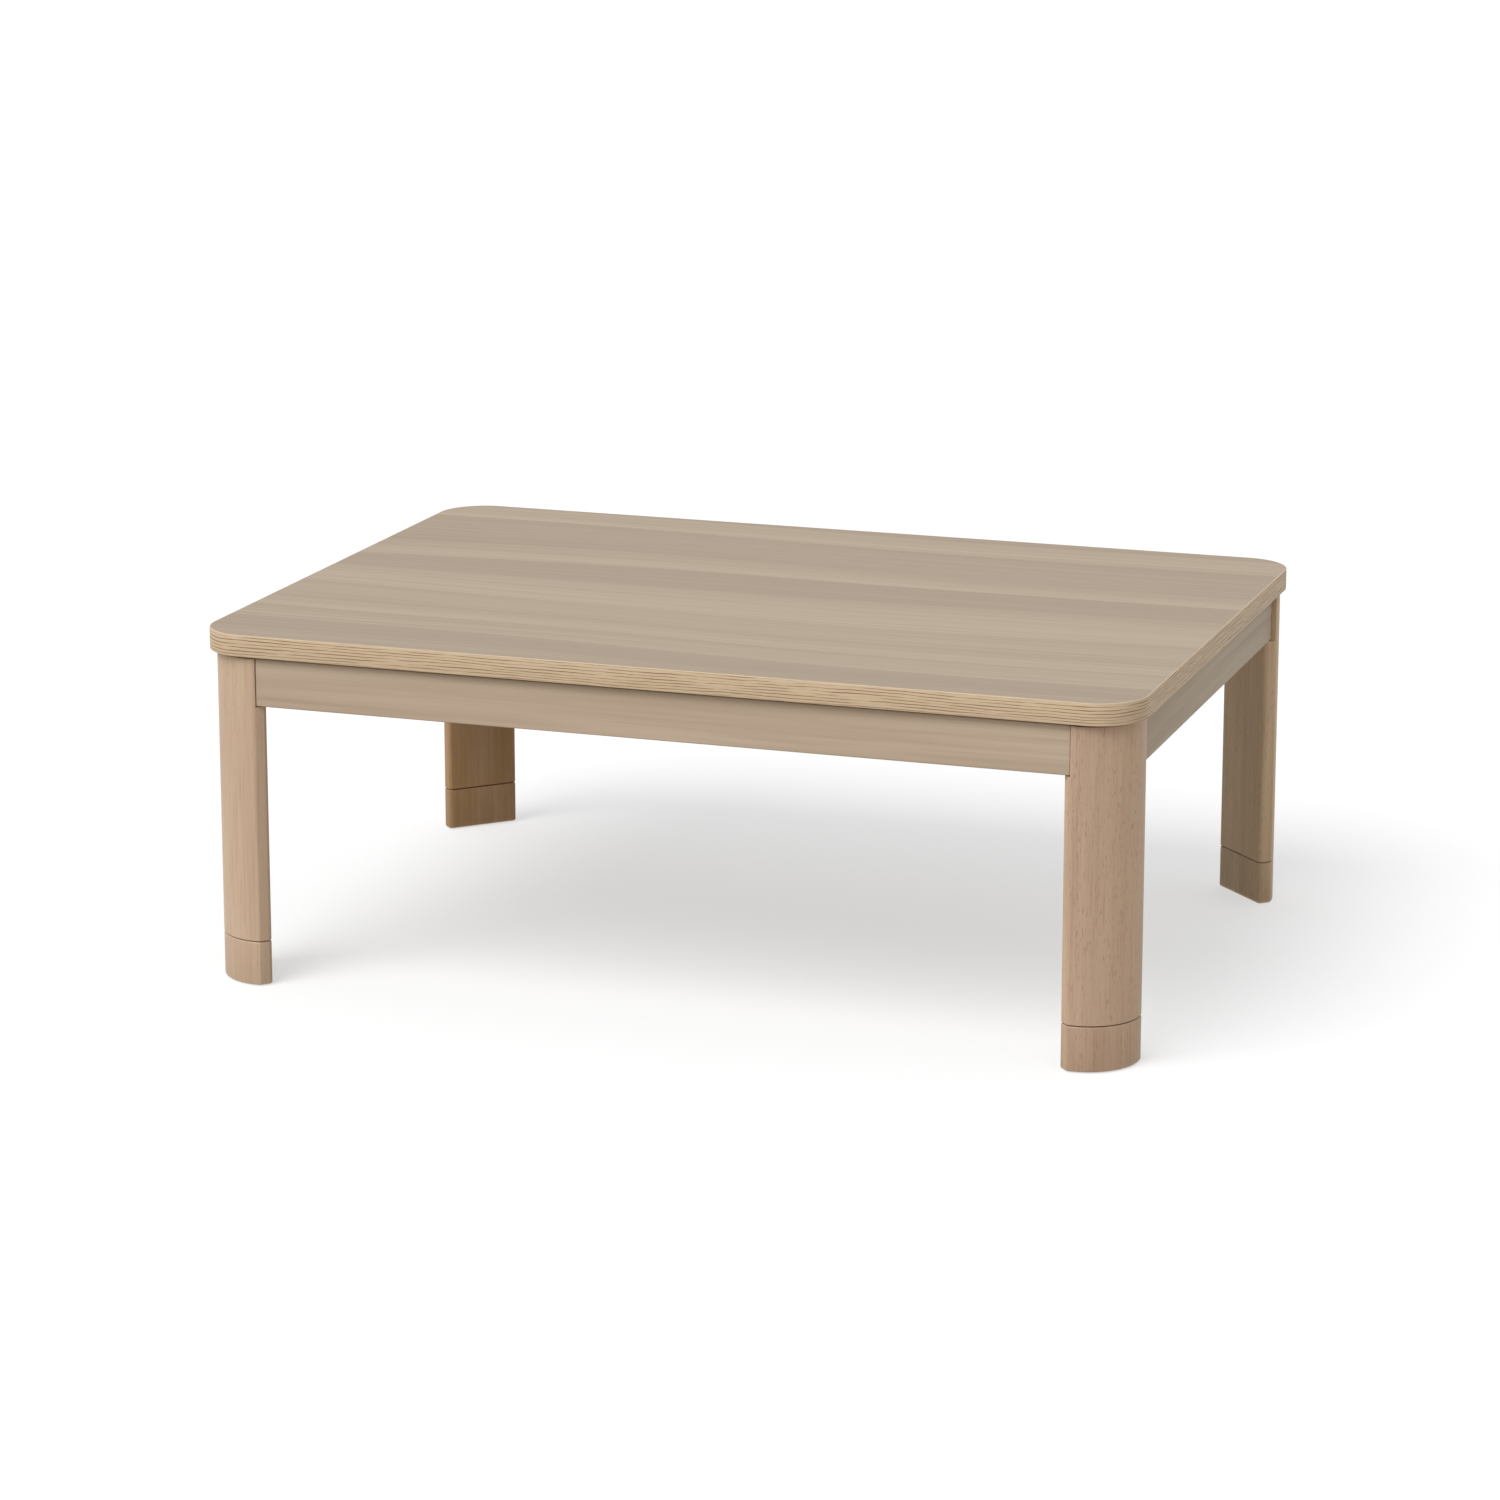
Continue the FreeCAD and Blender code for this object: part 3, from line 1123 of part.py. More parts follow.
def heater_leads():
    """Every lead in the heater."""
    routes = [inlet_lead(side) for side in SIDES] + [motor_lead(side) for side in SIDES]
    routes += [block_to_thermostat(), thermostat_to_fuse(), fuse_to_cap(), block_to_cap(), cap_to_cap()]
    return [lead(route) for route in routes]


def heater_parts():
    """Every piece of the heater, except the fan's moving pieces."""
    return {
        "heater_housing": heater_housing(),
        "heater_bezel": heater_bezel(),
        "heater_reflector": heater_reflector(),
        "heater_guard": heater_guard(),
        "heater_screws": heater_screws(),
        "quartz_tubes": quartz_tubes(),
        "heating_coils": heating_coils(),
        "tube_end_caps": tube_end_caps(),
        "tube_holders": tube_holders(),
        "fan_motor": fan_motor(),
        "fan_shaft": fan_shaft(),
        "fan_wheel": fan_wheel(),
        "terminal_block": terminal_block(),
        "thermostat": thermostat(),
        "thermal_fuse": thermal_fuse(),
        "power_inlet": power_inlet(),
        "brass_contacts": inlet_pins() + terminal_screws(),
        "heater_leads": heater_leads(),
    }


def corner_parts():
    """What stands at the four corners: nodes of their own, and fasteners grouped by kind."""
    leg_shape, bracket_shape, insert_shape = leg(), corner_bracket(), leg_insert()
    block_shape, bolt_shape, pad_shape = foot_block(), foot_bolt(), glide_pad()
    screws, bolts, nuts = bracket_screws(), hanger_bolts(), nuts_and_washers()
    made = {"bracket_screws": [], "hanger_bolts": [], "leg_nuts_and_washers": [], "leg_inserts": []}
    for corner, (sx, sy) in CORNERS.items():
        made[corner + "_leg"] = to_corner(leg_shape, sx, sy)
        made[corner + "_bracket"] = to_corner(bracket_shape, sx, sy)
        made[corner + "_foot"] = to_corner(block_shape, sx, sy)
        made[corner + "_foot_bolt"] = to_corner(bolt_shape, sx, sy)
        made[corner + "_foot_dowels"] = [to_corner(piece, sx, sy) for piece in foot_dowels()]
        made[corner + "_glide"] = to_corner(pad_shape, sx, sy)
        made["bracket_screws"] += [to_corner(piece, sx, sy) for piece in screws]
        made["hanger_bolts"] += [to_corner(piece, sx, sy) for piece in bolts]
        made["leg_nuts_and_washers"] += [to_corner(piece, sx, sy) for piece in nuts]
        made["leg_inserts"].append(to_corner(insert_shape, sx, sy))
    return made


def export(name, shape):
    """Writes one node, from one solid or a list of separate solids."""
    pieces = shape if isinstance(shape, list) else [shape]
    solids = [solid for piece in pieces for solid in piece.Solids]
    whole = solids[0] if len(solids) == 1 else Part.makeCompound(solids)
    bad = [index for index, solid in enumerate(solids) if not solid.isValid() or solid.Volume <= 0]
    print(name, len(solids), "solid(s)", "BAD %s" % bad if bad else "")
    whole.exportStep(os.path.join("parts", name + ".step"))


def main():
    os.makedirs("parts", exist_ok=True)
    nodes = {}
    nodes.update(tabletop_parts())
    nodes.update(frame_parts())
    nodes.update(corner_parts())
    nodes.update(heater_parts())
    nodes["rail_dowels"] = rail_dowels()
    nodes["top_bumpers"] = bumpers()
    for name, shape in nodes.items():
        export(name, shape)
    print(len(nodes), "nodes")


main()
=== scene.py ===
"""The look of a kotatsu table: a lift-off top on a wooden frame, four rounded legs and a heater."""
import math

import bmesh
import bpy
from mathutils import Matrix, Vector


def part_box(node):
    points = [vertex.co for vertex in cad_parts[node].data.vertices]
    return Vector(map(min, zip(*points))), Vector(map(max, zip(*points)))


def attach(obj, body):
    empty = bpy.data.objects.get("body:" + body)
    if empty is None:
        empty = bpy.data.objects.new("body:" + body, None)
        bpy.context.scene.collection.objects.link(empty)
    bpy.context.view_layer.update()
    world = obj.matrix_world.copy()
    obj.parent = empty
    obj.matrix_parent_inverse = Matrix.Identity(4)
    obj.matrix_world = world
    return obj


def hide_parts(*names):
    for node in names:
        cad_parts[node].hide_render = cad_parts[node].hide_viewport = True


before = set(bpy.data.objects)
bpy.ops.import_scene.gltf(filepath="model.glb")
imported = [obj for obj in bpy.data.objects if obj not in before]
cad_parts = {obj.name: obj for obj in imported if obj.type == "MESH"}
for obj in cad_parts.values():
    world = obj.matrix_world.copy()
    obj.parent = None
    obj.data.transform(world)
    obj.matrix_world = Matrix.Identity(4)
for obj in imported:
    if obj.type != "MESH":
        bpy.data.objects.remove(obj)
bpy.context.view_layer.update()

# The view
# The camera stands before the table, to its right and a little above the top, as in the picture.
# Its place and its focal length follow from where the table's corners are seen in a square frame,
# and the frame hangs a little below the lens's axis, which keeps the legs more upright in it.
FRAME_PIXELS = 1500
FOCAL_PIXELS = 4565.8
FRAME_DROP = -0.1
SENSOR_WIDTH = 36.0
VIEW_TARGET = Vector((-0.0159, 0, 0.38803))
VIEW_AZIMUTH_DEG = 18.954
VIEW_ELEVATION_DEG = 12.528
VIEW_DISTANCE = 5.1258
VIEW_FAR_END = 200


def scene_object(name, data):
    """Puts a mesh, a lamp or a camera in the scene."""
    made = bpy.data.objects.new(name, data)
    bpy.context.scene.collection.objects.link(made)
    return made


def aimed(name, data, azimuth_deg, elevation_deg, target, distance):
    """Puts a camera or a lamp at a distance from its target and turns it towards that."""
    turn, rise = math.radians(azimuth_deg), math.radians(elevation_deg)
    backward = Vector((math.sin(turn) * math.cos(rise), -math.cos(turn) * math.cos(rise), math.sin(rise)))
    made = scene_object(name, data)
    made.location = target + backward * distance
    made.rotation_mode = "QUATERNION"
    made.rotation_quaternion = (-backward).to_track_quat("-Z", "Y")
    return made


camera_data = bpy.data.cameras.new("view")
camera_data.sensor_width = SENSOR_WIDTH
camera_data.lens = FOCAL_PIXELS * SENSOR_WIDTH / FRAME_PIXELS
camera_data.shift_y = FRAME_DROP
camera_data.clip_end = VIEW_FAR_END
camera = aimed("view", camera_data, VIEW_AZIMUTH_DEG, VIEW_ELEVATION_DEG, VIEW_TARGET, VIEW_DISTANCE)
bpy.context.scene.camera = camera
bpy.context.scene.view_settings.view_transform = "Standard"

# The studio
# A wide white floor under a plain pale sky, with one broad soft lamp from the front left.
# The floor's own glow makes it white for the camera, and the table's shadow stays on it. It lets
# rays shorter than a few millimetres through, so that the soles of the feet get some light.
FLOOR_REACH = 40
FLOOR_DROP = 0.0003
FLOOR_PASS = 0.006
FLOOR_PAINT = (0.42, 0.42, 0.42, 1)
FLOOR_BOUNCE = (0.46, 0.42, 0.36, 1)
FLOOR_GLOW = (0.54, 0.54, 0.54, 1)
SKY_LIGHT = (0.595, 0.60, 0.61, 1)
WHITE, BLACK = (1, 1, 1, 1), (0, 0, 0, 1)
KEY_STRENGTH = 2.5
KEY_SPREAD_DEG = 40
KEY_AZIMUTH_DEG = -24
KEY_ELEVATION_DEG = 52


def step(tree, kind, inputs=(), **settings):
    """One shader node: its settings, and for each input a constant or the socket that feeds it."""
    made = tree.nodes.new("ShaderNode" + kind)
    for name, value in settings.items():
        setattr(made, name, value)
    for key, value in dict(inputs).items():
        if isinstance(value, bpy.types.NodeSocket):
            tree.links.new(value, made.inputs[key])
        else:
            made.inputs[key].default_value = value
    return made


def blend(tree, share, low, high, way="MIX"):
    """A colour between two others, by a share."""
    return step(tree, "Mix", {0: share, 6: low, 7: high}, data_type="RGBA", blend_type=way).outputs[2]


def sum_of(tree, one, two, way="ADD"):
    """Two values put together by a sum of the kind named."""
    return step(tree, "Math", {0: one, 1: two}, operation=way).outputs[0]


def seen_rays(tree):
    """One for rays that show the studio itself: straight, mirrored or through glass."""
    path = step(tree, "LightPath")
    mirrored = sum_of(tree, path.outputs["Is Glossy Ray"], path.outputs["Is Transmission Ray"], "MAXIMUM")
    return path.outputs["Is Camera Ray"], sum_of(tree, path.outputs["Is Camera Ray"], mirrored, "MAXIMUM")


sky = bpy.data.worlds.new("pale_sky")
sky.use_nodes = True
bpy.context.scene.world = sky
_, seen = seen_rays(sky.node_tree)
background = sky.node_tree.nodes["Background"]
sky.node_tree.links.new(blend(sky.node_tree, seen, SKY_LIGHT, WHITE), background.inputs["Color"])

floor_paint = bpy.data.materials.new("floor_paint")
floor_paint.use_nodes = True
tree = floor_paint.node_tree
tree.nodes.clear()
straight, seen = seen_rays(tree)
paint = step(tree, "BsdfDiffuse", {"Color": blend(tree, straight, FLOOR_BOUNCE, FLOOR_PAINT)})
glow = step(tree, "Emission", {"Color": blend(tree, seen, BLACK, FLOOR_GLOW)})
upper = step(tree, "AddShader", {0: paint.outputs[0], 1: glow.outputs[0]})
below = step(tree, "BsdfTransparent")
ray_length = step(tree, "LightPath").outputs["Ray Length"]
near = sum_of(tree, ray_length, FLOOR_PASS, "LESS_THAN")
side = sum_of(tree, step(tree, "NewGeometry").outputs["Backfacing"], near, "MAXIMUM")
both = step(tree, "MixShader", {0: side, 1: upper.outputs[0], 2: below.outputs[0]})
step(tree, "OutputMaterial", {"Surface": both.outputs[0]})

floor_mesh = bpy.data.meshes.new("floor")
corners = [(x * FLOOR_REACH, y * FLOOR_REACH, -FLOOR_DROP) for x, y in ((-1, -1), (1, -1), (1, 1), (-1, 1))]
floor_mesh.from_pydata(corners, [], [(0, 1, 2, 3)])
floor_mesh.materials.append(floor_paint)
floor = scene_object("floor", floor_mesh)

key_data = bpy.data.lights.new("key", "SUN")
key_data.energy = KEY_STRENGTH
key_data.angle = math.radians(KEY_SPREAD_DEG)
aimed("key", key_data, KEY_AZIMUTH_DEG, KEY_ELEVATION_DEG, Vector(), 0)

# Board
# The top's core is particle board, pressed between two facing sheets to 24 mm in all, with its
# corners cut to a wide arc. Only its rim would show, and the edge tape covers that.
MM = 0.001
CORNER_STEPS = 22
SMOOTH_UNDER_DEG = 32
BOARD_COLOUR = (0.42, 0.31, 0.20, 1)
TOP_CORNER_RADIUS = 55 * MM
BAND_THICKNESS = 1.2 * MM
BOARD_EASE = 0.05 * MM


def new_finish(name, roughness, metallic=0.0, coat=0.0, coat_roughness=0.1, specular=0.5):
    """A material with one principled shader, whose plain numbers stand on the shader itself."""
    material = bpy.data.materials.new(name)
    material.use_nodes = True
    shader = material.node_tree.nodes["Principled BSDF"]
    constants = {"Roughness": roughness, "Metallic": metallic, "Coat Weight": coat}
    constants |= {"Coat Roughness": coat_roughness, "Specular IOR Level": specular}
    for key, value in constants.items():
        shader.inputs[key].default_value = value
    return material, material.node_tree, shader


def spot(tree, stretch=(1, 1, 1), shift=(0, 0, 0), turn_deg=0, source=None):
    """Where a point lies on the piece, in metres, shifted, turned about the upright and stretched."""
    if source is None:
        source = step(tree, "TexCoord").outputs["Object"]
    turned = step(
        tree, "Mapping", {"Vector": source, "Location": shift, "Rotation": (0, 0, math.radians(turn_deg))}
    )
    return step(tree, "VectorMath", {0: turned.outputs[0], 1: stretch}, operation="MULTIPLY").outputs[0]


def feed(tree, shader, **feeds):
    """Links colours and values to a shader's inputs."""
    for key, value in feeds.items():
        tree.links.new(value, shader.inputs[key.replace("_", " ")])


def bump(tree, shader, height, depth, strength=1.0):
    """Small relief: a height from 0 to 1 that stands for a real depth in metres."""
    made = step(tree, "Bump", {"Height": height, "Distance": depth, "Strength": strength})
    tree.links.new(made.outputs[0], shader.inputs["Normal"])


def settle(piece, *spent):
    """Turns an object and its modifiers into a plain mesh, and takes it and what it was cut with away."""
    bpy.context.view_layer.update()
    settled = bpy.data.meshes.new_from_object(piece.evaluated_get(bpy.context.evaluated_depsgraph_get()))
    for used in (piece, *spent):
        bpy.data.objects.remove(used)
    return settled


def place_piece(name, mesh, material, body):
    """Puts a finished mesh in the scene on its body, in place of the plain node of the same name."""
    mesh.set_sharp_from_angle(angle=math.radians(SMOOTH_UNDER_DEG))
    mesh.materials.clear()
    mesh.materials.append(material)
    piece = scene_object(name, mesh)
    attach(piece, body)
    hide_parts(name)


def mesh_of(bm):
    """A plain smooth-shaded mesh from mesh data, with its faces turned outwards."""
    bmesh.ops.recalc_face_normals(bm, faces=bm.faces)
    mesh = bpy.data.meshes.new("skin")
    bm.to_mesh(mesh)
    bm.free()
    mesh.shade_smooth()
    return mesh


def arc_points(centre_x, centre_y, radius, start_deg, end_deg, steps):
    """Points along an arc, both ends among them."""
    turns = [math.radians(start_deg + (end_deg - start_deg) * n / steps) for n in range(steps + 1)]
    return [(centre_x + radius * math.cos(t), centre_y + radius * math.sin(t)) for t in turns]


def rounded_outline(half_x, half_y, radius, steps):
    """A rectangle about the origin with round corners, counter-clockwise."""
    x_in, y_in = half_x - radius, half_y - radius
    points = []
    for quarter, (sx, sy) in enumerate(((1, 1), (-1, 1), (-1, -1), (1, -1))):
        points += arc_points(sx * x_in, sy * y_in, radius, 90 * quarter, 90 * quarter + 90, steps)
    return points


def stack(bm, rings, closed=False):
    """Joins rings of points, alike in number, into a skin; its ends are capped, or it closes on itself."""
    layers = [[bm.verts.new(point) for point in ring] for ring in rings]
    for low, high in list(zip(layers, layers[1:])) + ([(layers[-1], layers[0])] if closed else []):
        for n in range(len(low)):
            after = (n + 1) % len(low)
            bm.faces.new((low[n], low[after], high[after], high[n]))
    if not closed:
        bm.faces.new(layers[0])
        bm.faces.new(layers[-1])
    return layers


def skin(rings, closed=False):
    """A mesh whose skin joins rings of points."""
    bm = bmesh.new()
    stack(bm, rings, closed)
    return mesh_of(bm)


def prism(outline, *levels):
    """Rings of one outline at several levels."""
    return [[(x, y, level) for x, y in outline] for level in levels]


def eased_plate(half_x, half_y, radius, low, high, ease, steps=CORNER_STEPS):
    """A plate with round corners whose two arrises are eased."""
    rings = []
    for inset, level in ((ease, low), (0, low + ease), (0, high - ease), (ease, high)):
        rings += prism(rounded_outline(half_x - inset, half_y - inset, radius - inset, steps), level)
    return skin(rings)


def board_finish():
    """Bare particle board: pale chips and darker ones."""
    material, tree, shader = new_finish("particle_board", 0.85)
    chips = step(tree, "TexVoronoi", {"Vector": spot(tree), "Scale": 420}).outputs["Color"]
    dark = tuple(0.6 * v for v in BOARD_COLOUR[:3]) + (1,)
    feed(tree, shader, Base_Color=blend(tree, chips, dark, BOARD_COLOUR))
    bump(tree, shader, chips, 0.2 * MM)
    return material


low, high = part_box("top_board")
radius = TOP_CORNER_RADIUS - BAND_THICKNESS
mesh = eased_plate(high.x, high.y, radius, low.z, high.z, BOARD_EASE)
place_piece("top_board", mesh, board_finish(), "tabletop")

# Upper sheet
# The sheet that faces the board is printed with pale ash staves that run along the table, in
# greige bands a hand wide, some pinker, with fine streaks in them. It is pressed on and satin.
STAVES_PER_METRE = 14
STRIPS_PER_METRE = 47
SHEET_EASE = 0.12 * MM


def noise(tree, place, scale=1.0, detail=2.0, rough=0.5, sway=0.0):
    """Soft noise, from 0 to 1, at a place."""
    inputs = {"Vector": place, "Scale": scale, "Detail": detail, "Roughness": rough, "Distortion": sway}
    return step(tree, "TexNoise", inputs).outputs["Fac"]


def ramp(tree, share, *stops):
    """Colours along a share: each stop is a place and a colour."""
    made = step(tree, "ValToRGB", {"Fac": share})
    marks = made.color_ramp.elements
    while len(marks) < len(stops):
        marks.new(0.5)
    for mark, (place, colour) in zip(marks, stops):
        mark.position, mark.color = place, colour
    return made.outputs["Color"]


def between(tree, value, low, high, out_low=0.0, out_high=1.0):
    """A value spread from one span to another, cut off at its ends."""
    inputs = {"Value": value, "From Min": low, "From Max": high, "To Min": out_low, "To Max": out_high}
    return step(tree, "MapRange", inputs).outputs[0]


def rgb(red, green, blue):
    """A colour given as a screen shows it, from 0 to 255, as the light that it stands for."""
    shown = [value / 255 for value in (red, green, blue)]
    return (*[v / 12.92 if v <= 0.04045 else ((v + 0.055) / 1.055) ** 2.4 for v in shown], 1)


def printed_sheet():
    """The printed wood of the top: staves that are dark along one edge, fine streaks and a few thin lines."""
    material, tree, shader = new_finish("printed_sheet", 0.6, specular=0.12)
    drift = between(tree, noise(tree, spot(tree, (0.8, 2.4, 0)), detail=1.5), 0, 1, -0.05, 0.05)
    across = sum_of(tree, step(tree, "SeparateXYZ", {0: spot(tree)}).outputs["Y"], drift)

    def along(stretch):
        lean = step(tree, "CombineXYZ", {"Y": sum_of(tree, drift, stretch[1], "MULTIPLY")}).outputs[0]
        return step(tree, "VectorMath", {0: spot(tree, stretch), 1: lean}, operation="ADD").outputs[0]

    def shaded_edges(count, sway, fade, flat):
        """Strips side by side, each dark along its far edge and fading from it, some darker all over."""
        bend = between(tree, noise(tree, along((0.5, count / 4, 0)), detail=1), 0, 1, -sway, sway)
        place = sum_of(tree, sum_of(tree, across, count, "MULTIPLY"), bend)
        number = step(tree, "Math", {0: place}, operation="FLOOR").outputs[0]
        inside = step(tree, "Math", {0: place}, operation="FRACT").outputs[0]
        chance = step(tree, "TexWhiteNoise", {"W": number}, noise_dimensions="1D").outputs["Value"]
        crisp = between(tree, inside, 0.95, 1.0, 1, 0)
        slope = sum_of(tree, inside, fade, "POWER")
        edge = sum_of(tree, slope, between(tree, chance, 0, 1, 0.25, 0.75), "MULTIPLY")
        whole = sum_of(tree, between(tree, chance, 0.46, 0.54, 0, flat), crisp, "MULTIPLY")
        return sum_of(tree, sum_of(tree, edge, crisp, "MULTIPLY"), whole, "MAXIMUM")

    bands = noise(tree, along((0.35, 8, 0)), detail=2, rough=0.5)
    colour = ramp(tree, bands, (0.34, SHEET_MIDDLE), (0.58, SHEET_LIGHT))
    strips = ((STAVES_PER_METRE, 0.9, 1.6, 0.52, 0.85), (STRIPS_PER_METRE, 1.2, 2.2, 0.3, 0.38))
    for count, sway, fade, flat, share in strips:
        shade = sum_of(tree, shaded_edges(count, sway, fade, flat), share, "MULTIPLY")
        colour = blend(tree, shade, colour, SHEET_PINK)
    streaks = noise(tree, along((1.4, 170, 0)), detail=4, rough=0.65)
    colour = blend(tree, between(tree, streaks, 0.48, 0.75, 0, 0.30), colour, SHEET_PINK)
    lines = noise(tree, along((0.7, 330, 0)), detail=2)
    group = noise(tree, along((0.5, 22, 0)), detail=1)
    rare = sum_of(tree, between(tree, lines, 0.60, 0.68), between(tree, group, 0.50, 0.62), "MULTIPLY")
    colour = blend(tree, sum_of(tree, rare, 0.42, "MULTIPLY"), colour, SHEET_STREAK)
    feed(tree, shader, Base_Color=colour, Roughness=between(tree, streaks, 0.3, 0.7, 0.55, 0.66))
    bump(tree, shader, streaks, 0.02 * MM)
    return material


SHEET_LIGHT = rgb(170, 156, 136)
SHEET_MIDDLE = rgb(165, 151, 131)
SHEET_PINK = rgb(143, 125, 111)
SHEET_STREAK = rgb(132, 115, 99)

low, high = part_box("top_sheet")
sheet = printed_sheet()
mesh = eased_plate(high.x, high.y, radius, low.z, high.z, SHEET_EASE)
place_piece("top_sheet", mesh, sheet, "tabletop")

# Lower sheet
# The underside has a plain matt sheet of paper and resin, pressed on like the upper one, so that
# both faces of the board pull alike and it stays flat.
BACKING_COLOUR = rgb(196, 186, 170)


def backing_sheet():
    """Plain matt paper-faced sheet with a very faint print."""
    material, tree, shader = new_finish("backing_sheet", 0.6, specular=0.3)
    streaks = noise(tree, spot(tree, (2, 90, 0)), detail=3)
    dark = tuple(0.9 * v for v in BACKING_COLOUR[:3]) + (1,)
    feed(tree, shader, Base_Color=blend(tree, streaks, dark, BACKING_COLOUR))
    return material


low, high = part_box("bottom_sheet")
mesh = eased_plate(high.x, high.y, radius, low.z, high.z, SHEET_EASE)
place_piece("bottom_sheet", mesh, backing_sheet(), "tabletop")

# Edge tape
# A tape printed with oak is glued round the top's rim and its two arrises are eased. Its grain
# follows the rim round the corners, so it is drawn along the tape and not across the room.
BAND_ROUND = 0.8 * MM
BAND_ROUND_STEPS = 4
TAPE_LIGHT = rgb(203, 183, 155)
TAPE_MIDDLE = rgb(195, 172, 143)
TAPE_GRAIN = rgb(124, 86, 62)
TAPE_LINE_PITCH = 3.2 * MM
TAPE_PLAIN_EDGE = 1.6 * MM
TAPE_PLAIN_FADE = 0.8 * MM


def tape_finish(bottom, top):
    """Oak print: thin wavy brown lines along the tape, which its own map measures in metres."""
    material, tree, shader = new_finish("oak_tape", 0.5, specular=0.25)
    along = step(tree, "UVMap", uv_map="tape").outputs[0]

    def bent(stretch):
        return spot(tree, stretch, source=along)

    colour = blend(tree, noise(tree, bent((6, 110, 0)), detail=3), TAPE_MIDDLE, TAPE_LIGHT)
    height = step(tree, "SeparateXYZ", {0: along}).outputs["Y"]
    wave = between(tree, noise(tree, bent((4, 30, 0)), detail=2), 0, 1, -1.3, 1.3)
    ripple = between(tree, noise(tree, bent((40, 80, 0)), detail=2), 0, 1, -0.26, 0.26)
    place = sum_of(tree, sum_of(tree, height, TAPE_LINE_PITCH, "DIVIDE"), sum_of(tree, wave, ripple))
    swing = step(tree, "Math", {0: sum_of(tree, place, 2 * math.pi, "MULTIPLY")}, operation="SINE").outputs[0]
    breaks = noise(tree, bent((14, 420, 0)), detail=2, rough=0.6)
    edge = between(tree, breaks, 0.36, 0.60, 1.0, 0.50)
    lines = between(tree, sum_of(tree, swing, edge, "SUBTRACT"), -0.05, 0.25)
    from_middle = sum_of(tree, sum_of(tree, height, (bottom + top) / 2, "SUBTRACT"), 0.0, "ABSOLUTE")
    plain = (top - bottom) / 2 - TAPE_PLAIN_EDGE
    kept = between(tree, from_middle, plain, plain + TAPE_PLAIN_FADE, 1, 0.15)
    lines = sum_of(tree, lines, kept, "MULTIPLY")
    colour = blend(tree, sum_of(tree, lines, 0.88, "MULTIPLY"), colour, TAPE_GRAIN)
    fine = between(tree, noise(tree, bent((60, 1500, 0)), detail=2), 0.5, 0.7, 0, 0.22)
    feed(tree, shader, Base_Color=blend(tree, fine, colour, TAPE_GRAIN))
    bump(tree, shader, sum_of(tree, 1.0, lines, "SUBTRACT"), 0.05 * MM)
    return material


def easing(radius, steps):
    """Insets and heights of a quarter round, from its flat end out to the full width."""
    turns = [math.radians(90 * n / steps) for n in range(steps + 1)]
    return [(radius * (1 - math.sin(t)), radius * (1 - math.cos(t))) for t in turns]


low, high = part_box("edge_band")
rounds = easing(BAND_ROUND, BAND_ROUND_STEPS)
profile = [(inset, low.z + rise) for inset, rise in rounds]
profile += [(inset, high.z - drop) for inset, drop in reversed(rounds)]
profile += [(BAND_THICKNESS, high.z), (BAND_THICKNESS, low.z)]
rings = []
for inset, level in profile:
    outline = rounded_outline(high.x - inset, high.y - inset, TOP_CORNER_RADIUS - inset, CORNER_STEPS)
    rings += prism(outline, level)
bm = bmesh.new()
layers = stack(bm, rings, closed=True)
count = len(layers[0])
outside = [Vector(point) for point in rings[BAND_ROUND_STEPS]]
travelled = [0.0]
for n in range(count):
    travelled.append(travelled[-1] + (outside[(n + 1) % count] - outside[n]).length)
station = {vert: (n, profile[row][1]) for row, layer in enumerate(layers) for n, vert in enumerate(layer)}
tape_map = bm.loops.layers.uv.new("tape")
for face in bm.faces:
    numbers = [station[loop.vert][0] for loop in face.loops]
    wraps = max(numbers) - min(numbers) > 1
    for loop in face.loops:
        number, level = station[loop.vert]
        loop[tape_map].uv = (travelled[count if wraps and number == 0 else number], level)
mesh = mesh_of(bm)
place_piece("edge_band", mesh, tape_finish(low.z, high.z), "tabletop")

# Aprons
# Four straight rails of veneered board stand on edge between the legs, a little in from the top's
# rim. Their paper-thin veneer runs along them, pinkish grey, with fine straight grain.
APRON_SHADES = (rgb(190, 172, 152), rgb(170, 151, 131))
# The side aprons' veneer is cooler and greyer than the long ones': painted shade, for the cool shade on the
# right apron's face.
APRON_SIDE_PAINTED_SHADE = (rgb(190, 177, 161), rgb(168, 154, 139))
APRON_LINE = rgb(158, 132, 112)
APRON_ROUND = 1.5 * MM
APRON_END_ROUND = 1.0 * MM
APRON_ROUND_STEPS = 4
SIDES = (("front", True), ("back", True), ("left", False), ("right", False))


def apron_finish(name, light, dark, turn_deg, shift):
    """Straight-grained veneer along one apron."""
    material, tree, shader = new_finish(name, 0.6, specular=0.12)
    bands = noise(tree, spot(tree, (0.9, 20, 32), shift, turn_deg), detail=3, rough=0.6, sway=0.3)
    colour = ramp(tree, bands, (0.34, dark), (0.62, light))
    streaks = noise(tree, spot(tree, (5, 200, 260), shift, turn_deg), detail=3, rough=0.65)
    colour = blend(tree, between(tree, streaks, 0.48, 0.70, 0, 0.5), colour, dark)
    lines = noise(tree, spot(tree, (1.3, 60, 120), shift, turn_deg), detail=2, sway=0.4)
    colour = blend(tree, between(tree, lines, 0.64, 0.70, 0, 0.30), colour, APRON_LINE)
    feed(tree, shader, Base_Color=colour)
    bump(tree, shader, streaks, 0.03 * MM)
    return material


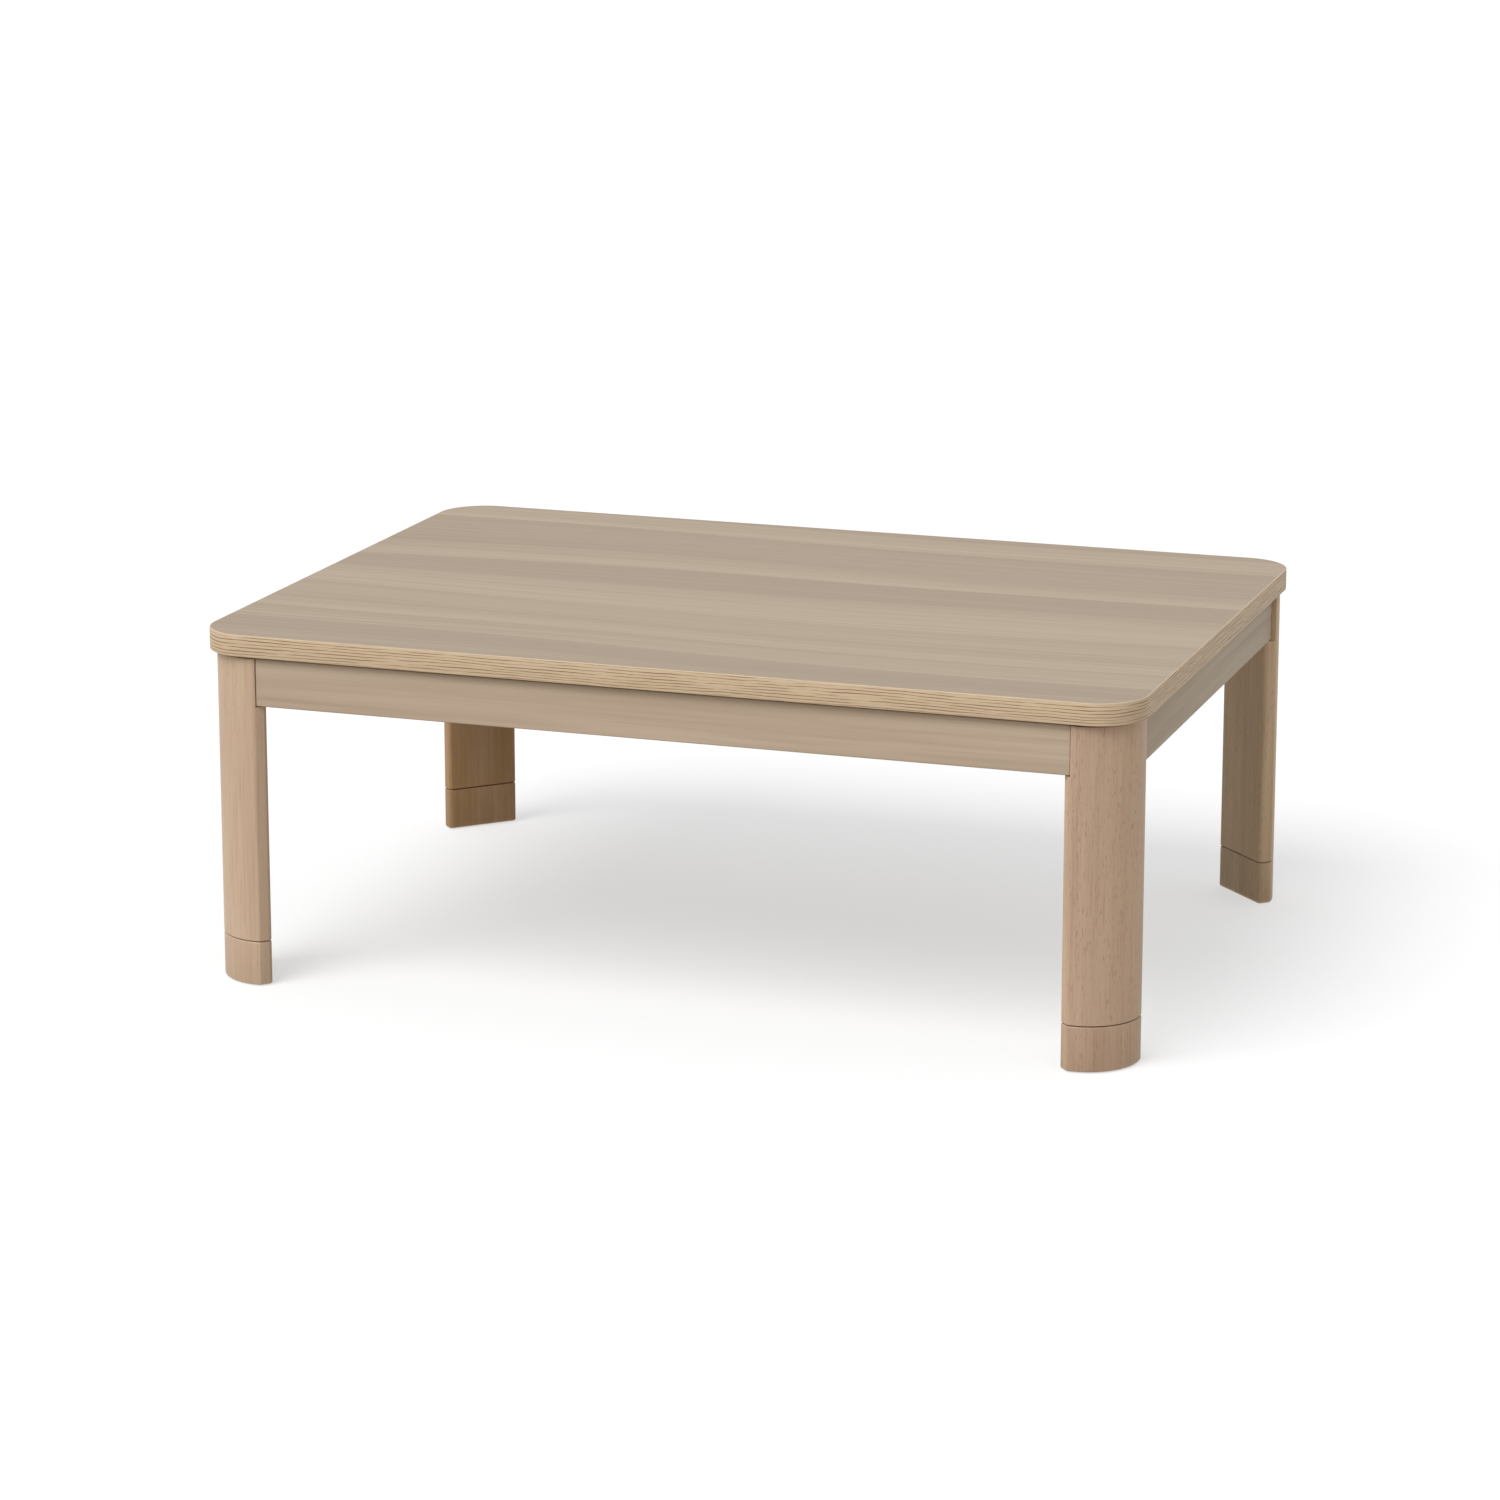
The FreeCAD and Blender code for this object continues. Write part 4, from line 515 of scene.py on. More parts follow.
def bar_mesh(low, high, lengthwise, ease, end_ease=0.0):
    """A bar with eased long edges, capped at its ends, which may be eased too."""
    size = high - low
    half_thick = (size.y if lengthwise else size.x) / 2
    half_tall = size.z / 2
    middle = (low + high) / 2
    half_long = (size.x if lengthwise else size.y) / 2
    rounds = easing(end_ease, APRON_ROUND_STEPS) if end_ease else [(0, 0)]
    rings = []
    insets = [(inset, rise - half_long) for inset, rise in rounds]
    insets += [(inset, half_long - rise) for inset, rise in reversed(rounds)]
    for inset, along in insets:
        outline = rounded_outline(half_thick - inset, half_tall - inset, ease, APRON_ROUND_STEPS)
        if lengthwise:
            rings.append([middle + Vector((along, a, b)) for a, b in outline])
        else:
            rings.append([middle + Vector((a, along, b)) for a, b in outline])
    return skin(rings)


for number, (side_name, lengthwise) in enumerate(SIDES):
    name = side_name + "_apron"
    # The side aprons get the cooler, greyer tones as painted shade.
    tints = APRON_SHADES if lengthwise else APRON_SIDE_PAINTED_SHADE
    shift = (1.7 * number, 0.9 * number, 0.31 * number)
    veneer = apron_finish(name + "_veneer", *tints, 0 if lengthwise else 90, shift)
    bar = bar_mesh(*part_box(name), lengthwise, APRON_ROUND, APRON_END_ROUND)
    place_piece(name, bar, veneer, "frame")

# Legs
# Each leg is a solid rubberwood bar set across its corner: a wide arc outwards, a flat inwards,
# rounded arrises, two notches at the top where the aprons butt on, and a clear satin lacquer.
TOP_HALF = Vector((525 * MM, 375 * MM, 0))
LEG_OVERHANG = 5 * MM
LEG_ARC_RADIUS = 58 * MM
HALF_LEG = 44.75 * MM
LEG_DEPTH = 36.5 * MM
LEG_INNER_ROUND = 5 * MM
LEG_OUTER_ROUND = 4.5 * MM
LEG_END_EASE = 0.4 * MM
GROOVE_DEPTH = 4 * MM
GROOVE_ROOF = 0.8 * MM
GROOVE_FLOOR = 0.3 * MM
NOTCH_GAP = 1.2 * MM
NOTCH_OUTSET = 1.1 * MM
ARC_STEPS = 36
ROUND_STEPS = 5
HOLE_STEPS = 32
LEG_EASE = 0.35 * MM
DOWEL_HOLE_RADIUS = 4.3 * MM
DOWEL_HOLE_DEPTH = 18 * MM
DOWEL_SPREAD = 25 * MM
INSERT_RADIUS = 6 * MM
INSERT_HOLE_DEPTH = 25 * MM
FOOT_FIXING_DEPTH = 20 * MM
CORNERS = {"front_left": (-1, -1), "front_right": (1, -1), "back_left": (-1, 1), "back_right": (1, 1)}

arc_centre = (LEG_OVERHANG + LEG_ARC_RADIUS) * math.sqrt(2)
apex = arc_centre - LEG_ARC_RADIUS
inner_flat = apex + LEG_DEPTH
arris = arc_centre - math.sqrt(LEG_ARC_RADIUS**2 - HALF_LEG**2)
notch_face = (arris + HALF_LEG) / math.sqrt(2) + NOTCH_OUTSET


def leg_outline(inset):
    """The leg's section, drawn in by an inset, with X along the inward diagonal."""
    flat, half = inner_flat - inset, HALF_LEG - inset
    inner, outer, bow = LEG_INNER_ROUND - inset, LEG_OUTER_ROUND - inset, LEG_ARC_RADIUS - inset
    reach = half - outer
    back = math.sqrt((bow - outer) ** 2 - reach**2)
    meet_deg = math.degrees(math.atan2(reach, -back))
    points = arc_points(flat - inner, half - inner, inner, 0, 90, ROUND_STEPS)
    points += arc_points(arc_centre - back, reach, outer, 90, meet_deg, ROUND_STEPS)
    points += arc_points(arc_centre, 0, bow, meet_deg, 360 - meet_deg, ARC_STEPS)[1:-1]
    points += arc_points(arc_centre - back, -reach, outer, 360 - meet_deg, 270, ROUND_STEPS)
    points += arc_points(flat - inner, inner - half, inner, 270, 360, ROUND_STEPS)
    return points


def square_in(along, inward, side):
    """A point of the diagonal frame, given along one edge of the top and square in from it."""
    return (along + inward) / math.sqrt(2), side * (along - inward) / math.sqrt(2)


def carve(mesh, cutters, way="DIFFERENCE"):
    """Cuts solids out of a mesh, or puts them together with it in another way."""
    piece = scene_object("blank", mesh)
    for cutter in cutters:
        cut = piece.modifiers.new("cut", "BOOLEAN")
        cut.object, cut.operation, cut.solver = cutter, way, "EXACT"
    return settle(piece, *cutters)


def cutter_of(outline, *levels):
    """An upright solid to cut with."""
    return scene_object("cutter", skin(prism(outline, *levels)))


def bore(x, y, radius, low, high):
    """A round upright hole to cut."""
    return cutter_of(arc_points(x, y, radius, 0, 360, HOLE_STEPS)[:-1], low, high)


def notch_cutter(side, floor_level, top_level):
    """The room that one apron's end takes out of the top of a leg."""
    reach = 2 * HALF_LEG
    near, far = notch_face, notch_face + reach
    outline = [square_in(*end, side) for end in ((near, -reach), (far, -reach), (far, reach), (near, reach))]
    return cutter_of(outline, floor_level, top_level)


def corner_place(sx, sy):
    """The matrix that takes the diagonal frame to one corner of the top."""
    place = Matrix.Translation((sx * TOP_HALF.x, sy * TOP_HALF.y, 0))
    return place @ Matrix.Rotation(math.atan2(-sy, -sx), 4, "Z")


def leg_bar(insets):
    """A length of the leg's bar in the diagonal frame, from insets and levels."""
    return skin([ring for inset, level in insets for ring in prism(leg_outline(inset), level)])


def veil(tree, colour, over, place, start, full, share, **kind):
    """Lays a colour over another where noise is high."""
    return blend(tree, between(tree, noise(tree, place, **kind), start, full, 0, share), colour, over)


def leg_wood(name, band_tint, light, dark, pore_share, shift):
    """Lacquered rubberwood along the upright: soft figure, fine streaks and short brown pores."""
    material, tree, shader = new_finish(name, 0.5, coat=0.1, coat_roughness=0.3, specular=0.3)
    figure = noise(tree, spot(tree, (42, 42, 1.6), shift), detail=4, rough=0.6, sway=0.4)
    colour = ramp(tree, figure, (0.28, dark), (0.70, light))
    # Over the front part of one leg's face the colour is darker and pinker, fading out across it; the tint is
    # plain white on all but the front right leg.
    reach = step(tree, "SeparateXYZ", {0: spot(tree)}).outputs["X"]
    ends = (between(tree, reach, *LEG_BAND_START), between(tree, reach, *LEG_BAND_END, 1, 0))
    colour = blend(tree, sum_of(tree, *ends, "MULTIPLY"), colour, blend(tree, 1.0, colour, band_tint, "MULTIPLY"))
    colour = veil(tree, colour, LEG_BLUSH, spot(tree, (30, 30, 5), shift), 0.45, 0.7, 0.35)
    layers = (
        (dark, (330, 330, 7), 0.42, 0.72, 0.55, 3, 0.65),
        (dark, (240, 240, 60), 0.45, 0.75, 0.28, 3, 0.6),
        (LEG_PORE, (850, 850, 11), 0.50, 0.74, 0.34, 2, 0.6),
    )
    for over, stretch, start, full, share, detail, rough in layers:
        place = spot(tree, stretch, shift)
        colour = veil(tree, colour, over, place, start, full, share, detail=detail, rough=rough)
    pores = noise(tree, spot(tree, (1050, 1050, 105), shift), detail=1, rough=0.5)
    crowd = noise(tree, spot(tree, (40, 40, 3), shift), detail=1)
    shown = sum_of(tree, between(tree, pores, 0.61, 0.70), between(tree, crowd, 0.32, 0.60), "MULTIPLY")
    colour = blend(tree, sum_of(tree, shown, pore_share, "MULTIPLY"), colour, LEG_PORE)
    feed(tree, shader, Base_Color=colour)
    bump(tree, shader, sum_of(tree, 1.0, shown, "SUBTRACT"), 0.05 * MM, 0.6)
    return material


LEG_PORE = rgb(138, 104, 85)
LEG_BLUSH = rgb(190, 158, 138)
LEG_LIGHT = rgb(205, 183, 158)
LEG_DARK = rgb(187, 161, 137)
LEG_WARM = rgb(206, 181, 153)
LEG_WARM_DARK = rgb(188, 160, 134)
# The back left leg's deeper brown is partly its own wood and partly painted shade, for the table's shadow
# over it.
LEG_SHADED_DEEP = rgb(172, 139, 97)
LEG_SHADED_DEEP_DARK = rgb(149, 115, 76)
# The back right leg's lighter, yellower tint is painted light, brightening it in the table's shade.
LEG_LIT_GOLD = rgb(212, 187, 153)
LEG_LIT_GOLD_DARK = rgb(193, 165, 132)
LEG_NO_BAND = (1, 1, 1, 1)
LEG_PINK_BAND = (0.77, 0.735, 0.775, 1)
LEG_BAND_START = (453 * MM, 459 * MM)
LEG_BAND_END = (484 * MM, 518 * MM)
LEG_TINTS = {
    "front_left": (LEG_NO_BAND, LEG_LIGHT, LEG_DARK, 0.25, (0, 0, 0)),
    "front_right": (LEG_PINK_BAND, LEG_WARM, LEG_WARM_DARK, 0.6, (3.1, 0.4, 1.3)),
    "back_left": (LEG_NO_BAND, LEG_SHADED_DEEP, LEG_SHADED_DEEP_DARK, 0.35, (1.2, 2.6, 0.7)),
    "back_right": (LEG_NO_BAND, LEG_LIT_GOLD, LEG_LIT_GOLD_DARK, 0.45, (0.6, 1.9, 2.2)),
}

apron_low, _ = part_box("front_apron")
fixing = apex + FOOT_FIXING_DEPTH
for corner, signs in CORNERS.items():
    name = corner + "_leg"
    low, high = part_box(name)
    roof, under = low.z + GROOVE_ROOF, low.z - LEG_DEPTH
    insets = [(GROOVE_DEPTH, low.z), (GROOVE_DEPTH, roof), (LEG_END_EASE, roof), (0, roof + LEG_END_EASE)]
    insets += [(0, high.z - LEG_EASE), (LEG_EASE, high.z)]
    cutters = [notch_cutter(side, apron_low.z - NOTCH_GAP, high.z + LEG_DEPTH) for side in (-1, 1)]
    cutters.append(bore(fixing, 0, INSERT_RADIUS, under, low.z + INSERT_HOLE_DEPTH))
    for side in (-1, 1):
        cutters.append(bore(fixing, side * DOWEL_SPREAD, DOWEL_HOLE_RADIUS, under, low.z + DOWEL_HOLE_DEPTH))
    mesh = carve(leg_bar(insets), cutters)
    mesh.transform(corner_place(*signs))
    place_piece(name, mesh, leg_wood(name + "_wood", *LEG_TINTS[corner]), "frame")

# Feet
# A short block of the same bar under each leg makes the table higher. Its rounded upper edge and
# the leg's square one leave a fine dark groove, and its bolt's head is sunk into its underside.
FOOT_ROUND = 1.8 * MM
FOOT_ROUND_STEPS = 4
COUNTERBORE_RADIUS = 8 * MM
COUNTERBORE_DEPTH = 14 * MM
FOOT_GRAIN_SHIFT = 0.37
# The feet's colours are darkened a little: painted shade, for the dimmer light near the floor.
FOOT_PAINTED_SHADE = (0.90, 0.885, 0.87)


def painted_floor_shade(colour):
    """The same colour a little darker: painted shade, for the dimmer light near the floor."""
    return (*[value * share for value, share in zip(colour, FOOT_PAINTED_SHADE)], 1)


for corner, signs in CORNERS.items():
    name = corner + "_foot"
    low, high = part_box(name)
    rounds, top = easing(FOOT_ROUND, FOOT_ROUND_STEPS), high.z - GROOVE_FLOOR
    insets = [(inset, low.z + rise) for inset, rise in rounds]
    insets += [(inset, top - drop) for inset, drop in reversed(rounds)]
    insets += [(GROOVE_DEPTH, top), (GROOVE_DEPTH, high.z)]
    sink = bore(fixing, 0, COUNTERBORE_RADIUS, low.z - LEG_DEPTH, low.z + COUNTERBORE_DEPTH)
    mesh = carve(leg_bar(insets), [sink])
    mesh.transform(corner_place(*signs))
    band_tint, light, dark, pore_share, shift = LEG_TINTS[corner]
    shift = tuple(value + FOOT_GRAIN_SHIFT for value in shift)
    # Painted shade: the foot's wood colours are darkened a little from the leg's.
    wood = leg_wood(name + "_wood", band_tint, painted_floor_shade(light), painted_floor_shade(dark), pore_share, shift)
    place_piece(name, mesh, wood, name)

# Felt glides
# A thin felt pad is glued under each foot, so that the table slides without marking the floor.
# It is dense grey-brown wool, a little fuzzy, and has a hole for the bolt's head.
FELT_LIGHT = rgb(126, 116, 104)
FELT_DARK = rgb(92, 84, 75)


def dress(node, material):
    """Gives a better finish to a piece that keeps the shape it has."""
    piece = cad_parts[node]
    for place in piece.material_slots:
        place.material = material


def felt_finish():
    """Pressed wool: short tangled fibres of two shades."""
    material, tree, shader = new_finish("felt", 0.95, specular=0.1)
    fibres = noise(tree, spot(tree), scale=1800, detail=4, rough=0.7, sway=1.5)
    feed(tree, shader, Base_Color=blend(tree, fibres, FELT_DARK, FELT_LIGHT))
    shader.inputs["Sheen Weight"].default_value = 0.35
    bump(tree, shader, fibres, 0.3 * MM)
    return material


felt = felt_finish()
for corner in CORNERS:
    dress(corner + "_glide", felt)

# Foot bolts
# One hexagon-socket bolt draws each foot up against its leg. It is zinc-plated steel; its head sits
# deep in the foot's underside and its thread runs into the insert in the leg.
LATHE_STEPS = 28
THREAD_PITCH = 1.25 * MM
THREAD_DEPTH = 0.55 * MM
BOLT_RADIUS = 4 * MM
BOLT_HEAD_HEIGHT = 8 * MM
BOLT_HEAD_EASE = 0.6 * MM
BOLT_PLAIN_SHANK = 18 * MM
SOCKET_RADIUS = 3.4 * MM
SOCKET_DEPTH = 4 * MM
ZINC_SHADES = (rgb(206, 208, 210), rgb(160, 164, 168))


def turned(profile, steps=LATHE_STEPS, closed=False):
    """A piece turned about the Z axis: its profile is a list of radii and heights."""
    turns = [2 * math.pi * n / steps for n in range(steps)]
    return skin([[(r * math.cos(t), r * math.sin(t), z) for t in turns] for r, z in profile], closed)


def threaded(low, high, crest, pitch=THREAD_PITCH, depth=THREAD_DEPTH):
    """The profile of a threaded stretch, as ridges one pitch apart."""
    count = int((high - low) / pitch)
    points = []
    for start in (low + n * pitch for n in range(count)):
        points += [(crest - depth, start), (crest, start + 0.45 * pitch), (crest, start + 0.55 * pitch)]
    return points + [(crest - depth, low + count * pitch), (crest - depth, high)]


def hexagon(radius):
    """A six-sided outline about the Z axis."""
    return arc_points(0, 0, radius, 0, 360, 6)[:-1]


def metal_finish(name, light, dark, roughness, scale=90, brush=0.01 * MM):
    """Bare or plated metal: a soft cloud of two shades and fine brush marks in its gloss."""
    material, tree, shader = new_finish(name, roughness, metallic=1.0)
    cloud = noise(tree, spot(tree), scale=scale, detail=4, rough=0.6)
    fine = noise(tree, spot(tree), scale=scale * 14, detail=2)
    gloss = between(tree, cloud, 0.3, 0.7, roughness - 0.06, roughness + 0.08)
    feed(tree, shader, Base_Color=blend(tree, cloud, dark, light), Roughness=gloss)
    bump(tree, shader, fine, brush)
    return material


zinc = metal_finish("zinc_plate", *ZINC_SHADES, 0.32)
for foot in (corner + "_foot" for corner in CORNERS):
    low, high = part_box(foot + "_bolt")
    radius, seat, ease = (high.x - low.x) / 2, low.z + BOLT_HEAD_HEIGHT, BOLT_HEAD_EASE
    profile = [(radius - ease, low.z), (radius, low.z + ease), (radius, seat - ease / 2)]
    profile += [(radius - ease / 2, seat), (BOLT_RADIUS, seat), (BOLT_RADIUS, seat + BOLT_PLAIN_SHANK)]
    profile += threaded(seat + BOLT_PLAIN_SHANK + THREAD_DEPTH, high.z - THREAD_PITCH, BOLT_RADIUS)
    profile += [(BOLT_RADIUS - THREAD_PITCH, high.z)]
    socket = cutter_of(hexagon(SOCKET_RADIUS), low.z - SOCKET_DEPTH, low.z + SOCKET_DEPTH)
    mesh = carve(turned(profile), [socket])
    mesh.transform(Matrix.Translation(((low.x + high.x) / 2, (low.y + high.y) / 2, 0)))
    place_piece(foot + "_bolt", mesh, zinc, foot)

# Foot dowels
# Two fluted beech dowels are glued into the top of each foot and slide into the leg, so that the
# foot can't turn about its bolt. Their ends are chamfered and their flutes let the glue out.
DOWEL_RADIUS = 4 * MM
DOWEL_FLUTES = 18
DOWEL_FLUTE_DEPTH = 0.35 * MM
DOWEL_CHAMFER = 1.0 * MM
BEECH_SHADES = (rgb(214, 190, 158), rgb(190, 160, 126))


def fluted(low, high):
    """An upright fluted dowel about the Z axis, chamfered at both ends."""
    rings = []
    chamfer = DOWEL_CHAMFER
    for shrink, level in ((chamfer, low), (0, low + chamfer), (0, high - chamfer), (chamfer, high)):
        ring = []
        for n in range(4 * DOWEL_FLUTES):
            turn = math.pi * n / (2 * DOWEL_FLUTES)
            reach = DOWEL_RADIUS - shrink - (DOWEL_FLUTE_DEPTH if n % 4 == 0 else 0)
            ring.append((reach * math.cos(turn), reach * math.sin(turn), level))
        rings.append(ring)
    return skin(rings)


def joined(*meshes):
    """Several meshes as one."""
    bm = bmesh.new()
    for mesh in meshes:
        bm.from_mesh(mesh)
    whole = bpy.data.meshes.new("joined")
    bm.to_mesh(whole)
    bm.free()
    return whole


def moved(mesh, *shift):
    """A mesh set off by a shift."""
    mesh.transform(Matrix.Translation(shift))
    return mesh


def plain_wood(name, light, dark, stretch, roughness=0.6):
    """Sanded wood with its grain along the shortest stretch."""
    material, tree, shader = new_finish(name, roughness, specular=0.3)
    figure = noise(tree, spot(tree, stretch), detail=4, rough=0.6, sway=0.4)
    fine = noise(tree, spot(tree, tuple(8 * value for value in stretch)), detail=3, rough=0.6)
    colour = ramp(tree, figure, (0.3, dark), (0.7, light))
    feed(tree, shader, Base_Color=blend(tree, between(tree, fine, 0.5, 0.75, 0, 0.4), colour, dark))
    bump(tree, shader, fine, 0.05 * MM)
    return material


upright_beech = plain_wood("upright_beech", *BEECH_SHADES, (160, 160, 9))
for foot, signs in ((corner + "_foot", signs) for corner, signs in CORNERS.items()):
    low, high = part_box(foot + "_dowels")
    pair = [moved(fluted(low.z, high.z), fixing, side * DOWEL_SPREAD, 0) for side in (-1, 1)]
    for dowel in pair:
        dowel.transform(corner_place(*signs))
    place_piece(foot + "_dowels", joined(*pair), upright_beech, foot)

# Leg inserts
# A threaded zinc sleeve is driven into the foot of each leg and takes the foot's bolt.
# Coarse outer ridges bite into the wood and the bore is threaded for the bolt.
INSERT_BORE = 4.3 * MM
INSERT_RIDGE_PITCH = 2.4 * MM
INSERT_RIDGE_DEPTH = 0.9 * MM
INSERT_RIDGE_START = 0.6 * MM
INSERT_THREAD_DEPTH = 0.3 * MM
INSERT_THREAD_START = 0.4 * MM


def grow(tree, kind, inputs=(), **settings):
    """One geometry node: its settings, and for each input a constant or the socket that feeds it."""
    made = tree.nodes.new(kind)
    for name, value in settings.items():
        setattr(made, name, value)
    for key, value in dict(inputs).items():
        socket = made.inputs[key]
        if not isinstance(key, int):
            socket = next(s for s in made.inputs if s.name == key and s.enabled)
        if isinstance(value, bpy.types.NodeSocket):
            tree.links.new(value, socket)
        else:
            socket.default_value = value
    return made


def new_tree(name, **kinds):
    """An empty geometry node tree with named inputs, and what they give."""
    tree = bpy.data.node_groups.new(name, "GeometryNodeTree")
    for label, kind in (kinds | {"Finish": "Material"}).items():
        tree.interface.new_socket(label, in_out="INPUT", socket_type="NodeSocket" + kind)
    tree.interface.new_socket("Result", in_out="OUTPUT", socket_type="NodeSocketGeometry")
    return tree, tree.nodes.new("NodeGroupInput").outputs


def close_tree(tree, result, entry):
    """Ends a tree: its copies are made real and get their material."""
    real = grow(tree, "GeometryNodeRealizeInstances", {0: result}).outputs[0]
    feeds = {"Geometry": real, "Material": entry["Finish"]}
    grow(tree, "NodeGroupOutput", {0: grow(tree, "GeometryNodeSetMaterial", feeds).outputs[0]})
    return tree


def run_tree(tree, material, mesh=None, **sizes):
    """Runs a tree on a mesh, or on none, with its named inputs set, and gives a plain mesh."""
    host = scene_object("host", mesh or bpy.data.meshes.new("none"))
    modifier = host.modifiers.new("grow", "NODES")
    modifier.node_group = tree
    given = sizes | {"Finish": material}
    for item in tree.interface.items_tree:
        if item.in_out == "INPUT" and item.name in given:
            modifier[item.identifier] = given[item.name]
    return settle(host)


def copies_tree():
    """Copies of a sample on points, each turned as its point says and spun by chance about its own Z."""
    tree, entry = new_tree("copies", Points="Geometry", Sample="Object", Spin="Float", Seed="Int")
    sample = grow(tree, "GeometryNodeObjectInfo", {"Object": entry["Sample"]}).outputs["Geometry"]
    stored = grow(tree, "GeometryNodeInputNamedAttribute", {"Name": "turn"}, data_type="FLOAT_VECTOR")
    turn = grow(tree, "FunctionNodeEulerToRotation", {0: stored.outputs[0]}).outputs[0]
    feeds = {"Max": entry["Spin"], "Seed": entry["Seed"]}
    chance = grow(tree, "FunctionNodeRandomValue", feeds, data_type="FLOAT")
    angle = next(out for out in chance.outputs if out.enabled)
    own = grow(tree, "FunctionNodeAxisAngleToRotation", {"Axis": (0, 0, 1), "Angle": angle}).outputs[0]
    both = grow(tree, "FunctionNodeRotateRotation", {0: turn, 1: own}, rotation_space="LOCAL").outputs[0]
    feeds = {"Points": entry["Points"], "Instance": sample, "Rotation": both}
    return close_tree(tree, grow(tree, "GeometryNodeInstanceOnPoints", feeds).outputs[0], entry)


COPIES = copies_tree()


def repeated(sample, places, material, spin=0.0, seed=1):
    """One mesh of copies of a sample: each place is a matrix that turns it and moves it there."""
    points = bpy.data.meshes.new("points")
    points.from_pydata([place.translation for place in places], [], [])
    turns = points.attributes.new("turn", "FLOAT_VECTOR", "POINT")
    for n, place in enumerate(places):
        turns.data[n].vector = place.to_euler()
    holder = scene_object("sample", sample)
    made = run_tree(COPIES, material, points, Sample=holder, Spin=spin, Seed=seed)
    bpy.data.objects.remove(holder)
    made.shade_smooth()
    return made


def at_corners(places):
    """Places in the diagonal frame, at each corner of the top."""
    return [corner_place(*signs) @ place for signs in CORNERS.values() for place in places]


def place_copies(name, sample, places, material, slot, **draw):
    """Puts copies of a sample in the scene as one piece of the frame."""
    place_piece(name, repeated(sample, places, material, **draw), material, "frame")


low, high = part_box("leg_inserts")
length, threads = high.z - low.z, INSERT_BORE + INSERT_THREAD_DEPTH
start, depth = INSERT_RIDGE_START, INSERT_RIDGE_DEPTH
profile = [(threads, 0), (INSERT_RADIUS - depth, 0)]
profile += threaded(start, length - start, INSERT_RADIUS, INSERT_RIDGE_PITCH, depth) + [(threads, length)]
start = INSERT_THREAD_START
profile += reversed(threaded(start, length - start, threads, depth=INSERT_THREAD_DEPTH))
places = at_corners([Matrix.Translation((fixing, 0, low.z))])
place_copies("leg_inserts", turned(profile, closed=True), places, zinc, "fastener_steel")

# Corner brackets
# A steel strap is bent across each corner behind its leg and screwed to both aprons. Two hanger
# bolts of the leg pass through it. It is blanked from sheet, zinc plated, with eased edges.
APRON_INNER = 29.5 * MM
BRACKET_THICKNESS = 2 * MM
BRACKET_HEIGHT = 46 * MM
BRACKET_HOLE_RADIUS = 4.3 * MM
BRACKET_CORNER = 5 * MM
BRACKET_EASE = 0.35 * MM
SCREW_HOLE_RADIUS = 2.3 * MM
APRON_END_GAP = 0.5 * MM
SCREW_EDGE = 9 * MM
SCREW_PITCH = 15 * MM
SCREW_ROW_PITCH = 26 * MM
HANGER_SPACING = 25 * MM
BRACKET_SHADES = (rgb(196, 197, 194), rgb(150, 152, 150))


def facing(place, direction):
    """The matrix of a copy at a place whose Z axis looks along a direction."""
    forward = Vector(direction).normalized()
    across = Vector((0, 0, 1)).cross(forward)
    if across.length < 0.01:
        across = Vector((1, 0, 0)).cross(forward)
    across.normalize()
    turn = Matrix((across, forward.cross(across), forward)).transposed().to_4x4()
    return Matrix.Translation(place) @ turn


apron_low, apron_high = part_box("front_apron")
apron_middle = (apron_low.z + apron_high.z) / 2
bend_outer = inner_flat * math.sqrt(2) - APRON_INNER
bend_inner = (inner_flat + BRACKET_THICKNESS) * math.sqrt(2) - APRON_INNER - BRACKET_THICKNESS
screw_start = max(notch_face + APRON_END_GAP, bend_inner) + SCREW_EDGE
flange_end = screw_start + SCREW_PITCH + SCREW_EDGE
hanger_levels = [apron_middle + side * HANGER_SPACING / 2 for side in (-1, 1)]
stud_places = [facing((inner_flat, 0, level), (1, 0, 0)) for level in hanger_levels]


def drill(radius, place, low, high):
    """A round cutter along a place's own Z axis."""
    solid = turned([(radius, low), (radius, high)], HOLE_STEPS)
    solid.transform(place)
    return scene_object("cutter", solid)


def soften(mesh, ease, steps=2):
    """Eases a mesh's sharp edges by a real width."""
    piece = scene_object("blank", mesh)
    bevel = piece.modifiers.new("ease", "BEVEL")
    bevel.width, bevel.segments, bevel.limit_method = ease, steps, "ANGLE"
    bevel.angle_limit = math.radians(SMOOTH_UNDER_DEG)
    bevel.use_clamp_overlap = True
    return settle(piece)


def screw_places():
    """Seats of one bracket's screws in the diagonal frame, each looking away from its apron."""
    places = []
    for side in (-1, 1):
        for along in (screw_start, screw_start + SCREW_PITCH):
            for row in (-1, 1):
                seat = square_in(along, APRON_INNER + BRACKET_THICKNESS, side)
                places.append(facing((*seat, apron_middle + row * SCREW_ROW_PITCH / 2), (1, -side, 0)))
    return places


